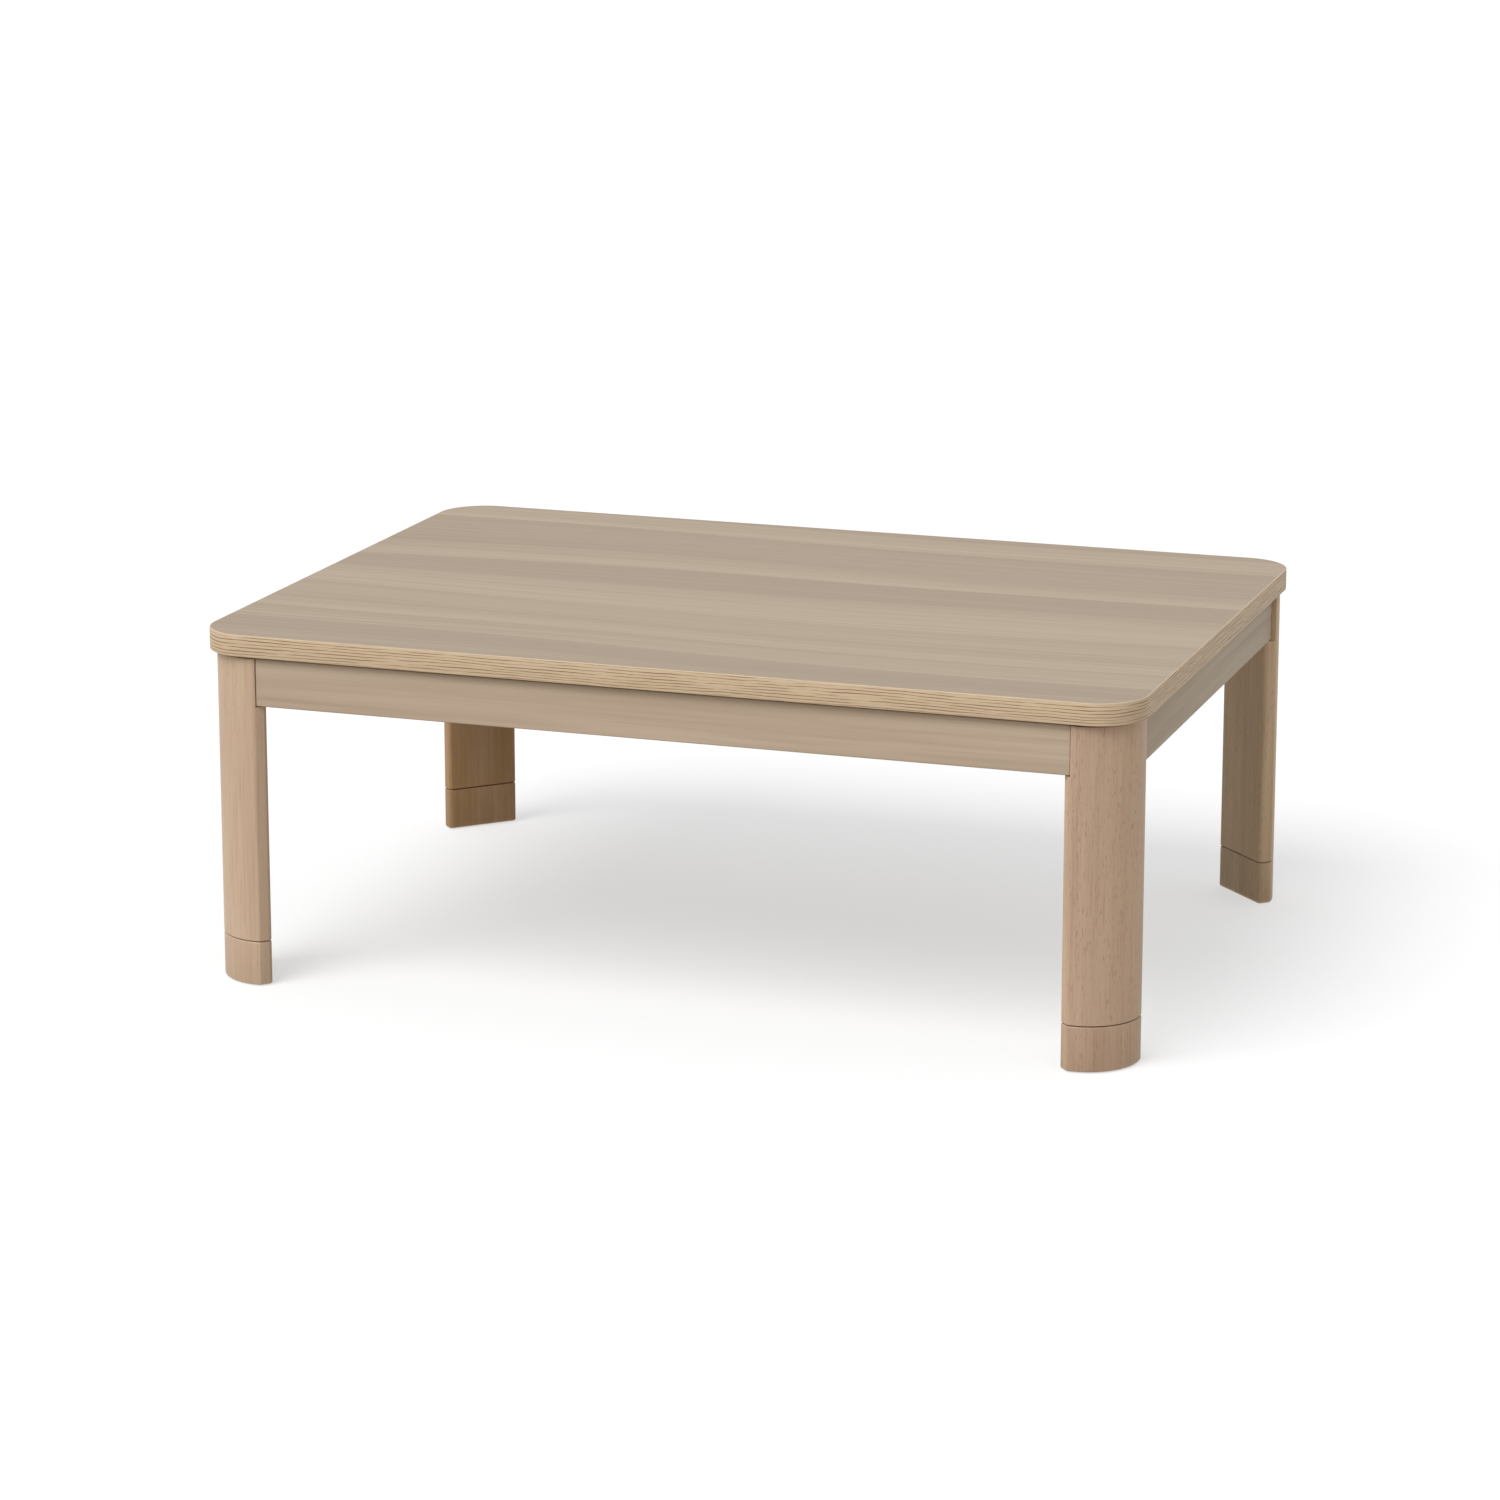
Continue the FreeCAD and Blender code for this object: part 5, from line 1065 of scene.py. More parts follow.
def bracket_mesh():
    """The strap in the diagonal frame, with round flange corners and its holes."""
    flat, raised, thick = APRON_INNER, APRON_INNER + BRACKET_THICKNESS, BRACKET_THICKNESS
    flange = [(bend_outer, flat), (flange_end, flat), (flange_end, raised), (bend_inner, raised)]
    outline = [square_in(*point, -1) for point in flange]
    outline += [square_in(*point, 1) for point in reversed(flange)]
    bm = bmesh.new()
    stack(bm, prism(outline, apron_middle - BRACKET_HEIGHT / 2, apron_middle + BRACKET_HEIGHT / 2))
    flat_edges = [e for e in bm.edges if abs(e.verts[0].co.z - e.verts[1].co.z) < MM]
    short = [e for e in flat_edges if e.calc_length() < 1.1 * thick]
    tips = [e for e in short if min(abs(v.co.y) for v in e.verts) > HALF_LEG]
    bmesh.ops.bevel(bm, geom=tips, offset=BRACKET_CORNER, segments=6, affect="EDGES", profile=0.5)
    cutters = [drill(BRACKET_HOLE_RADIUS, place, -thick, 2 * thick) for place in stud_places]
    cutters += [drill(SCREW_HOLE_RADIUS, place, -2 * thick, thick) for place in screw_places()]
    return soften(carve(mesh_of(bm), cutters), BRACKET_EASE)


bracket_steel = metal_finish("bracket_zinc", *BRACKET_SHADES, 0.38, 60)
strap = bracket_mesh()
for corner, signs in CORNERS.items():
    mesh = strap.copy()
    mesh.transform(corner_place(*signs))
    place_piece(corner + "_bracket", mesh, bracket_steel, "frame")

# Bracket screws
# Eight pan-head wood screws hold each bracket to its two aprons. They are zinc plated, with a cross
# recess in the head, and no two stand at the same angle.
SCREW_HEAD_RADIUS = 4 * MM
SCREW_HEAD_HEIGHT = 2.4 * MM
SCREW_RADIUS = 2 * MM
SCREW_LENGTH = 15 * MM
SCREW_TIP = 3 * MM
SCREW_POINT = 0.25 * MM
SCREW_THREAD_PITCH = 1.4 * MM
SCREW_THREAD_DEPTH = 0.5 * MM
SCREW_HEAD_EASE = 0.2 * MM
CROSS_LENGTH = 4.4 * MM
CROSS_WIDTH = 0.9 * MM
CROSS_DEPTH = 1.3 * MM


def block_cutter(half_x, half_y, low, high):
    """A square-cornered upright cutter about the Z axis."""
    return cutter_of([(half_x, half_y), (-half_x, half_y), (-half_x, -half_y), (half_x, -half_y)], low, high)


def pan_screw(length):
    """A pan-head screw whose head stands on its origin and whose thread runs down from there."""
    radius, ease, dome = SCREW_HEAD_RADIUS, SCREW_HEAD_EASE, SCREW_HEAD_HEIGHT / 2
    profile = [(SCREW_POINT, -length)]
    profile += threaded(SCREW_TIP - length, -SCREW_TIP, SCREW_RADIUS, SCREW_THREAD_PITCH, SCREW_THREAD_DEPTH)
    profile += [(SCREW_RADIUS, -SCREW_TIP), (SCREW_RADIUS, 0), (radius - ease, 0), (radius, ease)]
    profile += arc_points(radius - dome, dome, dome, 0, 90, 5)
    arms = ((CROSS_LENGTH / 2, CROSS_WIDTH / 2), (CROSS_WIDTH / 2, CROSS_LENGTH / 2))
    floor_level, above = SCREW_HEAD_HEIGHT - CROSS_DEPTH, 2 * SCREW_HEAD_HEIGHT
    return carve(turned(profile), [block_cutter(*arm, floor_level, above) for arm in arms])


places = at_corners(screw_places())
place_copies("bracket_screws", pan_screw(SCREW_LENGTH), places, zinc, "fastener_steel", spin=math.pi, seed=5)

# Hanger bolts
# Two studs stand out of the flat of each leg: a coarse wood thread inside it and a machine thread
# outside, through the bracket, for a washer and a nut.
HANGER_GRIP = 24 * MM
HANGER_OUT = 16.1 * MM
HANGER_POINT = 0.8 * MM
HANGER_WOOD_PITCH = 2.4 * MM
HANGER_WOOD_DEPTH = 0.9 * MM
HANGER_PLAIN = 0.3 * MM
HANGER_CHAMFER = 1.2 * MM

profile = [(HANGER_POINT, -HANGER_GRIP)]
profile += threaded(SCREW_TIP - HANGER_GRIP, -SCREW_TIP, BOLT_RADIUS, HANGER_WOOD_PITCH, HANGER_WOOD_DEPTH)
profile += [(BOLT_RADIUS, -SCREW_TIP), (BOLT_RADIUS, 0)]
profile += threaded(HANGER_PLAIN, HANGER_OUT - MM, BOLT_RADIUS) + [(BOLT_RADIUS - HANGER_CHAMFER, HANGER_OUT)]
places = at_corners(stud_places)
place_copies("hanger_bolts", turned(profile), places, zinc, "fastener_steel")

# Nuts and washers
# A plain washer and a chamfered hexagon nut on each stud pull the leg against the aprons' ends.
# Both are zinc-plated steel, and they bear on the bracket's inner face.
WASHER_RADIUS = 8.5 * MM
WASHER_THICKNESS = 1.6 * MM
WASHER_EASE = 0.25 * MM
NUT_ACROSS_FLATS = 13 * MM
NUT_HEIGHT = 6.5 * MM
NUT_CHAMFER = 1 * MM


def washer_and_nut():
    """A washer on the origin with a nut on it, bored for the stud."""
    ease, wide, thick = WASHER_EASE, WASHER_RADIUS, WASHER_THICKNESS
    profile = [(BOLT_RADIUS, 0), (wide - ease, 0), (wide, ease), (wide, thick - ease), (wide - ease, thick)]
    washer = turned(profile + [(BOLT_RADIUS, thick)], closed=True)
    corner, high = NUT_ACROSS_FLATS / math.sqrt(3), thick + NUT_HEIGHT
    profile = [(corner - NUT_CHAMFER, thick), (corner, thick + NUT_CHAMFER / 2)]
    profile += [(corner, high - NUT_CHAMFER / 2), (corner - NUT_CHAMFER, high)]
    barrel = scene_object("barrel", turned(profile, 48))
    nut = carve(skin(prism(hexagon(corner), thick, high)), [barrel], "INTERSECT")
    return joined(washer, carve(nut, [bore(0, 0, BOLT_RADIUS, 0, 2 * high)]))


outside = Matrix.Translation((0, 0, BRACKET_THICKNESS))
places = [place @ outside for place in places]
place_copies("leg_nuts_and_washers", washer_and_nut(), places, zinc, "fastener_steel")

# Rails
# Two long rails run from front to back under the top, and two short ones join them round a square
# opening for the heater. They are bare laminated softwood, planed and lightly sanded.
RAIL_ROUND = 0.9 * MM
PINE_SHADES = (rgb(208, 184, 146), rgb(178, 148, 108))

for side_name, lengthwise in SIDES:
    name = side_name + "_rail"
    pine = plain_wood(name + "_pine", *PINE_SHADES, (4, 70, 90) if lengthwise else (70, 4, 90), 0.7)
    place_piece(name, bar_mesh(*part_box(name), lengthwise, RAIL_ROUND), pine, "frame")

# Rail dowels
# Fluted beech dowels hold the rails, two to a joint: across each end of a short rail into a long
# one, and of a long rail into its apron. They are glued in and don't show.
RAIL_DOWEL_REACH = 13 * MM
RAIL_DOWEL_SPREAD = 12 * MM

rail_low, rail_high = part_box("right_rail")
rail_middle = (rail_low + rail_high) / 2
places = []
for sx, sy in CORNERS.values():
    for side in (-1, 1):
        beside = rail_middle.x + side * RAIL_DOWEL_SPREAD
        places.append(facing((sx * beside, sy * rail_high.y, rail_middle.z), (0, 1, 0)))
        places.append(facing((sx * rail_low.x, sy * beside, rail_middle.z), (1, 0, 0)))
flat_beech = plain_wood("flat_beech", *BEECH_SHADES, (60, 60, 160))
dowel = fluted(-RAIL_DOWEL_REACH, RAIL_DOWEL_REACH)
place_copies("rail_dowels", dowel, places, flat_beech, "dowel_wood", spin=math.pi, seed=3)

# Bumpers
# The loose top rests on eight small pads of clear grey elastomer, stuck to the tops of the aprons.
# They keep it from sliding, and leave the thin dark gap that is seen all round below the top.
BUMPER_RADIUS = 6.5 * MM
BUMPER_ROUND = 0.6 * MM
BUMPER_SHADES = (rgb(196, 194, 188), rgb(168, 166, 160))
BUMPER_SPREAD_SHARE = 0.78


def soft_finish(name, light, dark, roughness, scale=260, sheen=0.0, depth=0.02 * MM):
    """Rubber or resin: two close shades and a fine even texture."""
    material, tree, shader = new_finish(name, roughness, specular=0.4)
    cloud = noise(tree, spot(tree), scale=scale / 6, detail=3)
    fine = noise(tree, spot(tree), scale=scale * 6, detail=2)
    feed(tree, shader, Base_Color=blend(tree, cloud, dark, light))
    shader.inputs["Sheen Weight"].default_value = sheen
    bump(tree, shader, fine, depth)
    return material


low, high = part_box("top_bumpers")
height = high.z - low.z
wide, ease = BUMPER_RADIUS, BUMPER_ROUND
profile = [(wide, 0), (wide, height - ease), (wide - 0.3 * ease, height - 0.3 * ease), (wide - ease, height)]
apron_ends = TOP_HALF - Vector((1, 1, 0)) * (notch_face + APRON_END_GAP)
pads = [(apron_ends.x * BUMPER_SPREAD_SHARE, high.y - BUMPER_RADIUS)]
pads.append((high.x - BUMPER_RADIUS, apron_ends.y * BUMPER_SPREAD_SHARE))
places = [Matrix.Translation((sx * x, sy * y, low.z)) for sx, sy in CORNERS.values() for x, y in pads]
rubber = soft_finish("grey_rubber", *BUMPER_SHADES, 0.45)
place_copies("top_bumpers", turned(profile), places, rubber, "bumper_rubber")

# Heater housing
# The heater's upper case is a shallow box deep-drawn from galvanised sheet, with a flat flange that
# is screwed up against the rails. Two rows of slots let the warm air out round the fan.
CASE_STEPS = 7
SMALL_STEPS = 5
FOLD_STEPS = 4
SHEET = 0.8 * MM
FLANGE_HALF = 150 * MM
FLANGE_ROUND = 14 * MM
RISE_HALF = 130 * MM
RISE_ROUND = 10 * MM
PRESS_BEND = 2.4 * MM
VENT_LENGTH = 38 * MM
VENT_WIDTH = 3 * MM
VENT_PITCH = 9 * MM
VENT_COUNT = 7
VENT_OFFSET = 78 * MM
VENT_END_SHARE = 0.499
BOSS_REACH = 142.9 * MM
BOSS_ALONG = 110 * MM
GALVANISED_LIGHT = rgb(176, 180, 182)
GALVANISED_DARK = rgb(140, 145, 149)


def shell(profile, closed=True):
    """A square case with round corners, from a section of half widths, corner radii and heights."""
    rings = []
    for half, radius, level in profile:
        rings += prism(rounded_outline(half, half, radius, CASE_STEPS), level)
    return skin(rings, closed)


def fold(half, radius, level, reach, start_deg, end_deg, steps=FOLD_STEPS):
    """Points of a section round a bend: its middle, its reach and the turn it makes."""
    turns = [math.radians(start_deg + (end_deg - start_deg) * n / steps) for n in range(steps + 1)]
    arc = [(reach * math.cos(t), reach * math.sin(t)) for t in turns]
    return [(half + out, radius + out, level + rise) for out, rise in arc]


def row_of(count, pitch):
    """Even places along a row, about its middle."""
    return [(number - (count - 1) / 2) * pitch for number in range(count)]


def galvanised_finish():
    """Hot-dip zinc: flat grains of slightly different greys."""
    material, tree, shader = new_finish("galvanised", 0.42, metallic=1.0)
    warped = noise(tree, spot(tree), scale=40, detail=2)
    grains = step(tree, "TexVoronoi", {"Vector": spot(tree), "Scale": 130}).outputs["Color"]
    grey = step(tree, "RGBToBW", {0: grains}).outputs[0]
    colour = blend(tree, sum_of(tree, grey, warped, "MULTIPLY"), GALVANISED_DARK, GALVANISED_LIGHT)
    feed(tree, shader, Base_Color=colour, Roughness=between(tree, grey, 0, 1, 0.34, 0.5))
    bump(tree, shader, grey, 0.01 * MM)
    return material


low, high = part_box("heater_housing")
bend = PRESS_BEND
crown = (RISE_HALF - bend, RISE_ROUND - bend, high.z - bend)
root = (RISE_HALF + bend, RISE_ROUND + bend, low.z + SHEET + bend)
profile = fold(*crown, bend - SHEET, 90, 0) + fold(*root, bend + SHEET, 270, 180)[::-1]
profile += [(FLANGE_HALF, FLANGE_ROUND, low.z), (FLANGE_HALF, FLANGE_ROUND, low.z + SHEET)]
profile += fold(*root, bend, 270, 180) + fold(*crown, bend, 0, 90)
vents = []
for side in (-1, 1):
    for across in row_of(VENT_COUNT, VENT_PITCH):
        vents.append(Matrix.Translation((side * VENT_OFFSET, across, high.z)))
vent = rounded_outline(VENT_LENGTH / 2, VENT_WIDTH / 2, VENT_WIDTH * VENT_END_SHARE, SMALL_STEPS)
galvanised = galvanised_finish()
cutters = [scene_object("vents", repeated(skin(prism(vent, -2 * SHEET, 2 * SHEET)), vents, galvanised))]
bosses = [(sx * BOSS_REACH, sy * BOSS_ALONG) for sx, sy in CORNERS.values()]
cutters += [bore(x, y, SCREW_HOLE_RADIUS, low.z - SHEET, low.z + 2 * SHEET) for x, y in bosses]
mesh = carve(shell(profile, closed=False), cutters)
place_piece("heater_housing", mesh, galvanised, "frame")

# Bezel
# The heater's lower frame is moulded in black heat-proof resin with a fine grained surface. A lip
# round its mouth carries the guard, and four sunk bosses take the screws that go up into the rails.
BEZEL_ROUND = 14 * MM
BEZEL_WALL = 1.6 * MM
BEZEL_EDGE = 1.8 * MM
BEZEL_LIP_ROUND = 0.5 * MM
MOUTH_HALF = 128 * MM
MOUTH_ROUND = 12 * MM
BOSS_RADIUS = 5.5 * MM
BOSS_RECESS = 4.6 * MM
BOSS_SEAT = 4 * MM
RESIN_SHADES = (rgb(52, 51, 50), rgb(38, 38, 38))
INLET_HALF = 17 * MM
INLET_FLANGE = 3 * MM

inlet_low, inlet_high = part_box("power_inlet")
low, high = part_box("heater_bezel")
corner = (FLANGE_HALF - BEZEL_EDGE, BEZEL_ROUND - BEZEL_EDGE, low.z + BEZEL_EDGE, BEZEL_EDGE)
lip, ease = low.z + BEZEL_WALL, BEZEL_LIP_ROUND
inside, inner_round = FLANGE_HALF - BEZEL_WALL, BEZEL_ROUND - BEZEL_WALL
profile = [(FLANGE_HALF, BEZEL_ROUND, high.z)] + fold(*corner, 0, -90)
profile += fold(MOUTH_HALF + ease, MOUTH_ROUND + ease, low.z + ease, ease, 270, 180)
profile += fold(MOUTH_HALF + ease, MOUTH_ROUND + ease, lip - ease, ease, 180, 90)
profile += [(inside, inner_round, lip), (inside, inner_round, high.z)]
posts = []
for x, y in bosses:
    posts.append(bore(x, y, BOSS_RADIUS, low.z + BEZEL_EDGE / 2, high.z))
    outer = math.copysign(inside + BEZEL_WALL / 2, x)
    web = block_cutter(abs(outer - x) / 2, BOSS_RADIUS / 2, lip - BEZEL_WALL / 2, high.z)
    moved(web.data, (x + outer) / 2, y, 0)
    posts.append(web)
cutters = [bore(x, y, BOSS_RECESS, low.z - BEZEL_WALL, high.z - BOSS_SEAT) for x, y in bosses]
cutters += [bore(x, y, SCREW_HOLE_RADIUS, low.z - BEZEL_WALL, high.z + BEZEL_WALL) for x, y in bosses]
window = block_cutter(4 * BEZEL_WALL, INLET_HALF, inlet_low.z + INLET_FLANGE, inlet_high.z - INLET_FLANGE)
moved(window.data, FLANGE_HALF, 0, 0)
mesh = carve(carve(shell(profile), posts, "UNION"), cutters + [window])
black_resin = soft_finish("black_resin", *RESIN_SHADES, 0.52, scale=900, depth=0.05 * MM)
place_piece("heater_bezel", mesh, black_resin, "frame")

# Heater screws
# Four long pan-head screws hang the heater from the rails. They are zinc-plated steel, sunk in the
# bezel's bosses, and hold housing and bezel together.
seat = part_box("heater_bezel")[1].z - BOSS_SEAT
hung = pan_screw(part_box("heater_screws")[1].z - seat)
places = [facing((x, y, seat), (0, 0, -1)) for x, y in bosses]
place_copies("heater_screws", hung, places, zinc, "fastener_steel", spin=math.pi, seed=8)

# Reflector
# A tray pressed from bright aluminised sheet throws the tubes' heat down. Its walls slope out to a
# narrow rim on the guard, and its floor is pierced for the fan's shaft and for the tubes' leads.
REFLECTOR_SHEET = 0.6 * MM
REFLECTOR_RIM = 7 * MM
PLATE_HALF = 111 * MM
TRAY_BEND = 1.5 * MM
TUBE_SPREAD = 70 * MM
CAP_MIDDLE = 93 * MM
LEAD_HOLE = 1.7 * MM
SHAFT_PASS = 6 * MM
BRIGHT_SHADES = (rgb(232, 232, 230), rgb(214, 214, 212))

low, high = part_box("heater_reflector")
slope_deg = math.degrees(math.atan2(high.z - low.z, MOUTH_HALF - PLATE_HALF))
turned_in = 90 - slope_deg
thin, bend = REFLECTOR_SHEET, TRAY_BEND
crown = (PLATE_HALF - bend, MOUTH_ROUND - bend, high.z - bend)
profile = fold(*crown, bend - thin, 90, turned_in) + [(MOUTH_HALF - thin, MOUTH_ROUND, low.z + thin)]
rim, corner = MOUTH_HALF + REFLECTOR_RIM, MOUTH_ROUND + REFLECTOR_RIM
profile += [(MOUTH_HALF + thin, MOUTH_ROUND + thin, low.z), (rim, corner, low.z), (rim, corner, low.z + thin)]
profile.append((MOUTH_HALF + thin, MOUTH_ROUND + thin, low.z + thin))
profile.append((MOUTH_HALF, MOUTH_ROUND, low.z + 2 * thin))
profile += fold(*crown, bend, turned_in, 90)
holes = [(0, 0, SHAFT_PASS)] + [(sx * TUBE_SPREAD, sy * CAP_MIDDLE, LEAD_HOLE) for sx, sy in CORNERS.values()]
cutters = [bore(*hole, high.z - 3 * bend, high.z + bend) for hole in holes]
mesh = carve(shell(profile, closed=False), cutters)
bright = metal_finish("bright_aluminised", *BRIGHT_SHADES, 0.2, 30, 0.002 * MM)
place_piece("heater_reflector", mesh, bright, "frame")

# Wire guard
# A frame of steel wire with seventeen thinner wires welded across it, and three more over those,
# keeps hands and quilt off the tubes. It is dipped in black enamel and lies on the bezel's lip.
GUARD_HALF = 133 * MM
GUARD_CORNER = 10 * MM
GUARD_FRAME = 1.5 * MM
GUARD_WIRE = 1.0 * MM
GUARD_PITCH = 15 * MM
GUARD_REACH = 8
GUARD_CROSSINGS = 3
WIRE_SIDES = 10
ENAMEL_SHADES = (rgb(46, 45, 44), rgb(28, 28, 28))


def wire_along(tree, path, radius, capped=True, sides=WIRE_SIDES):
    """Sweeps a round section along a path."""
    feeds = {"Resolution": sides, "Radius": radius}
    section = grow(tree, "GeometryNodeCurvePrimitiveCircle", feeds).outputs[0]
    feeds = {"Curve": path, "Profile Curve": section, "Fill Caps": capped}
    return grow(tree, "GeometryNodeCurveToMesh", feeds).outputs[0]


def rods_tree():
    """Equal straight wires, each set off from the last."""
    kinds = {"Count": "Int", "First": "Vector", "Offset": "Vector", "Reach": "Vector", "Radius": "Float"}
    tree, entry = new_tree("rods", **kinds)
    feeds = {"Start": (0, 0, 0), "End": entry["Reach"]}
    path = grow(tree, "GeometryNodeCurvePrimitiveLine", feeds).outputs[0]
    wire = wire_along(tree, path, entry["Radius"])
    feeds = {"Count": entry["Count"], "Start Location": entry["First"], "Offset": entry["Offset"]}
    places = grow(tree, "GeometryNodeMeshLine", feeds, mode="OFFSET").outputs[0]
    row = grow(tree, "GeometryNodeInstanceOnPoints", {"Points": places, "Instance": wire}).outputs[0]
    return close_tree(tree, row, entry)


RODS = rods_tree()


def rods(material, count, first, offset, reach, radius):
    """Equal straight wires: how many, where the first starts, what parts them, and how far each reaches."""
    return run_tree(RODS, material, Count=count, First=first, Offset=offset, Reach=reach, Radius=radius)


def hoop_tree():
    """A square hoop of wire with round corners, about the origin."""
    tree, entry = new_tree("hoop", Width="Float", Corner="Float", Radius="Float")
    feeds = {"Width": entry["Width"], "Height": entry["Width"]}
    square = grow(tree, "GeometryNodeCurvePrimitiveQuadrilateral", feeds).outputs[0]
    feeds = {"Curve": square, "Count": 8, "Radius": entry["Corner"]}
    bent = grow(tree, "GeometryNodeFilletCurve", feeds, mode="POLY").outputs[0]
    return close_tree(tree, wire_along(tree, bent, entry["Radius"], False), entry)


low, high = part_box("heater_guard")
enamel = soft_finish("black_enamel", *ENAMEL_SHADES, 0.3, scale=300)
level = low.z + GUARD_FRAME
hoop = run_tree(hoop_tree(), enamel, Width=2 * GUARD_HALF, Corner=GUARD_CORNER, Radius=GUARD_FRAME)
end, last = GUARD_HALF - GUARD_FRAME, GUARD_REACH * GUARD_PITCH
first = (-end, -last, level)
wires = rods(enamel, 2 * GUARD_REACH + 1, first, (0, GUARD_PITCH, 0), (2 * end, 0, 0), GUARD_WIRE)
apart, reach = 2 * GUARD_HALF / (GUARD_CROSSINGS + 1), last + GUARD_WIRE
first = (-apart, -reach, high.z - GUARD_WIRE)
bars = rods(enamel, GUARD_CROSSINGS, first, (apart, 0, 0), (0, 2 * reach, 0), GUARD_WIRE)
mesh = joined(moved(hoop, 0, 0, level), wires, bars)
mesh.shade_smooth()
place_piece("heater_guard", mesh, enamel, "frame")

# Quartz tubes
# Two open tubes of milky quartz glass hold the coils under the reflector. They are drawn, their
# ends are cut square and fire-polished, and they sit in ceramic caps.
TUBE_RADIUS = 6 * MM
TUBE_WALL = 1 * MM
TUBE_ROUND = 0.3 * MM
QUARTZ_TINT = rgb(250, 244, 236)
QUARTZ_VEIL = rgb(236, 228, 216)


def quartz_finish():
    """Glass with a milky veil, drawn into faint lines along the tube."""
    material, tree, shader = new_finish("milky_quartz", 0.16)
    milk = noise(tree, spot(tree, (260, 9, 260)), detail=3)
    gloss = between(tree, milk, 0.3, 0.7, 0.10, 0.26)
    feed(tree, shader, Base_Color=blend(tree, milk, QUARTZ_VEIL, QUARTZ_TINT), Roughness=gloss)
    shader.inputs["Transmission Weight"].default_value = 0.88
    shader.inputs["IOR"].default_value = 1.46
    return material


low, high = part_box("quartz_tubes")
tube_level, tube_end = (low.z + high.z) / 2, high.y
bore_radius = TUBE_RADIUS - TUBE_WALL
profile = [(TUBE_RADIUS, TUBE_ROUND - tube_end), (TUBE_RADIUS, tube_end - TUBE_ROUND)]
profile += [(TUBE_RADIUS - TUBE_ROUND, tube_end), (bore_radius, tube_end), (bore_radius, -tube_end)]
profile += [(TUBE_RADIUS - TUBE_ROUND, -tube_end)]
places = [facing((side * TUBE_SPREAD, 0, tube_level), (0, 1, 0)) for side in (-1, 1)]
place_copies("quartz_tubes", turned(profile, closed=True), places, quartz_finish(), "quartz")

# Heating coils
# In each tube lies a close coil of resistance wire, wound on a rod and dulled by heat. A thicker
# straight tail at each end runs out through the cap.
COIL_RADIUS = 3.4 * MM
COIL_WIRE = 0.34 * MM
COIL_HALF = 81 * MM
COIL_TURNS = 118
COIL_TURN_STEPS = 14
COIL_SIDES = 6
TAIL_RADIUS = 0.8 * MM
COIL_SHADES = (rgb(150, 138, 126), rgb(96, 86, 80))


def coil_tree():
    """A coil of wire along Z."""
    tree, entry = new_tree("coil", Turns="Float", Radius="Float", Height="Float", Wire="Float")
    feeds = {"Resolution": COIL_TURN_STEPS, "Rotations": entry["Turns"], "Height": entry["Height"]}
    feeds |= {"Start Radius": entry["Radius"], "End Radius": entry["Radius"]}
    path = grow(tree, "GeometryNodeCurveSpiral", feeds).outputs[0]
    return close_tree(tree, wire_along(tree, path, entry["Wire"], sides=COIL_SIDES), entry)


oxidised = metal_finish("oxidised_wire", *COIL_SHADES, 0.45, 200)
bend, lap = COIL_RADIUS - COIL_WIRE, 2 * COIL_WIRE
coil = run_tree(coil_tree(), oxidised, Turns=COIL_TURNS, Radius=bend, Height=2 * COIL_HALF, Wire=COIL_WIRE)
apart, reach = (0, 0, tube_end + COIL_HALF - lap), (0, 0, tube_end - COIL_HALF + lap)
tails = rods(oxidised, 2, (0, 0, -tube_end), apart, reach, TAIL_RADIUS)
starts = [(0, 0, end * (COIL_HALF - COIL_WIRE)) for end in (-1, 1)]
spokes = [rods(oxidised, 1, start, (0, 0, 0), (bend, 0, 0), COIL_WIRE) for start in starts]
coil_set = joined(moved(coil, 0, 0, -COIL_HALF), tails, *spokes)
place_copies("heating_coils", coil_set, places, oxidised, "coil_wire")

# End caps
# White unglazed ceramic caps, pressed and fired, close the tubes' ends. They keep the hot glass
# and the live tails off the steel holders.
CAP_RADIUS = 8 * MM
CAP_LENGTH = 16 * MM
CAP_OVERLAP = 10 * MM
CAP_EASE = 0.7 * MM
CERAMIC_SHADES = (rgb(238, 234, 226), rgb(220, 214, 203))

low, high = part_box("tube_end_caps")
mouth = high.y - CAP_LENGTH
wide, ease = CAP_RADIUS, CAP_EASE
profile = [(TUBE_RADIUS, CAP_OVERLAP), (TUBE_RADIUS, ease), (TUBE_RADIUS + ease / 2, 0), (wide - ease / 2, 0)]
profile += [(wide, ease / 2), (wide, CAP_LENGTH - 2 * ease), (wide - 0.6 * ease, CAP_LENGTH - 0.6 * ease)]
profile += [(wide - 2 * ease, CAP_LENGTH)]
ends = [facing((sx * TUBE_SPREAD, sy * mouth, tube_level), (0, sy, 0)) for sx, sy in CORNERS.values()]
ceramic = soft_finish("ceramic", *CERAMIC_SHADES, 0.68, scale=700, depth=0.06 * MM)
place_copies("tube_end_caps", turned(profile), ends, ceramic, "cap_ceramic")

# Tube holders
# A bent tab of zinc-plated sheet, fixed flat to the reflector, holds each cap in a round hole.
# It is blanked, pierced and folded once, and its edges are barely eased.
HOLDER_SHEET = 1.2 * MM
HOLDER_TAB = 9 * MM
HOLDER_BEND = 2 * MM
HOLDER_EASE = 0.15 * MM
HOLDER_SHADES = (rgb(198, 198, 194), rgb(158, 158, 154))

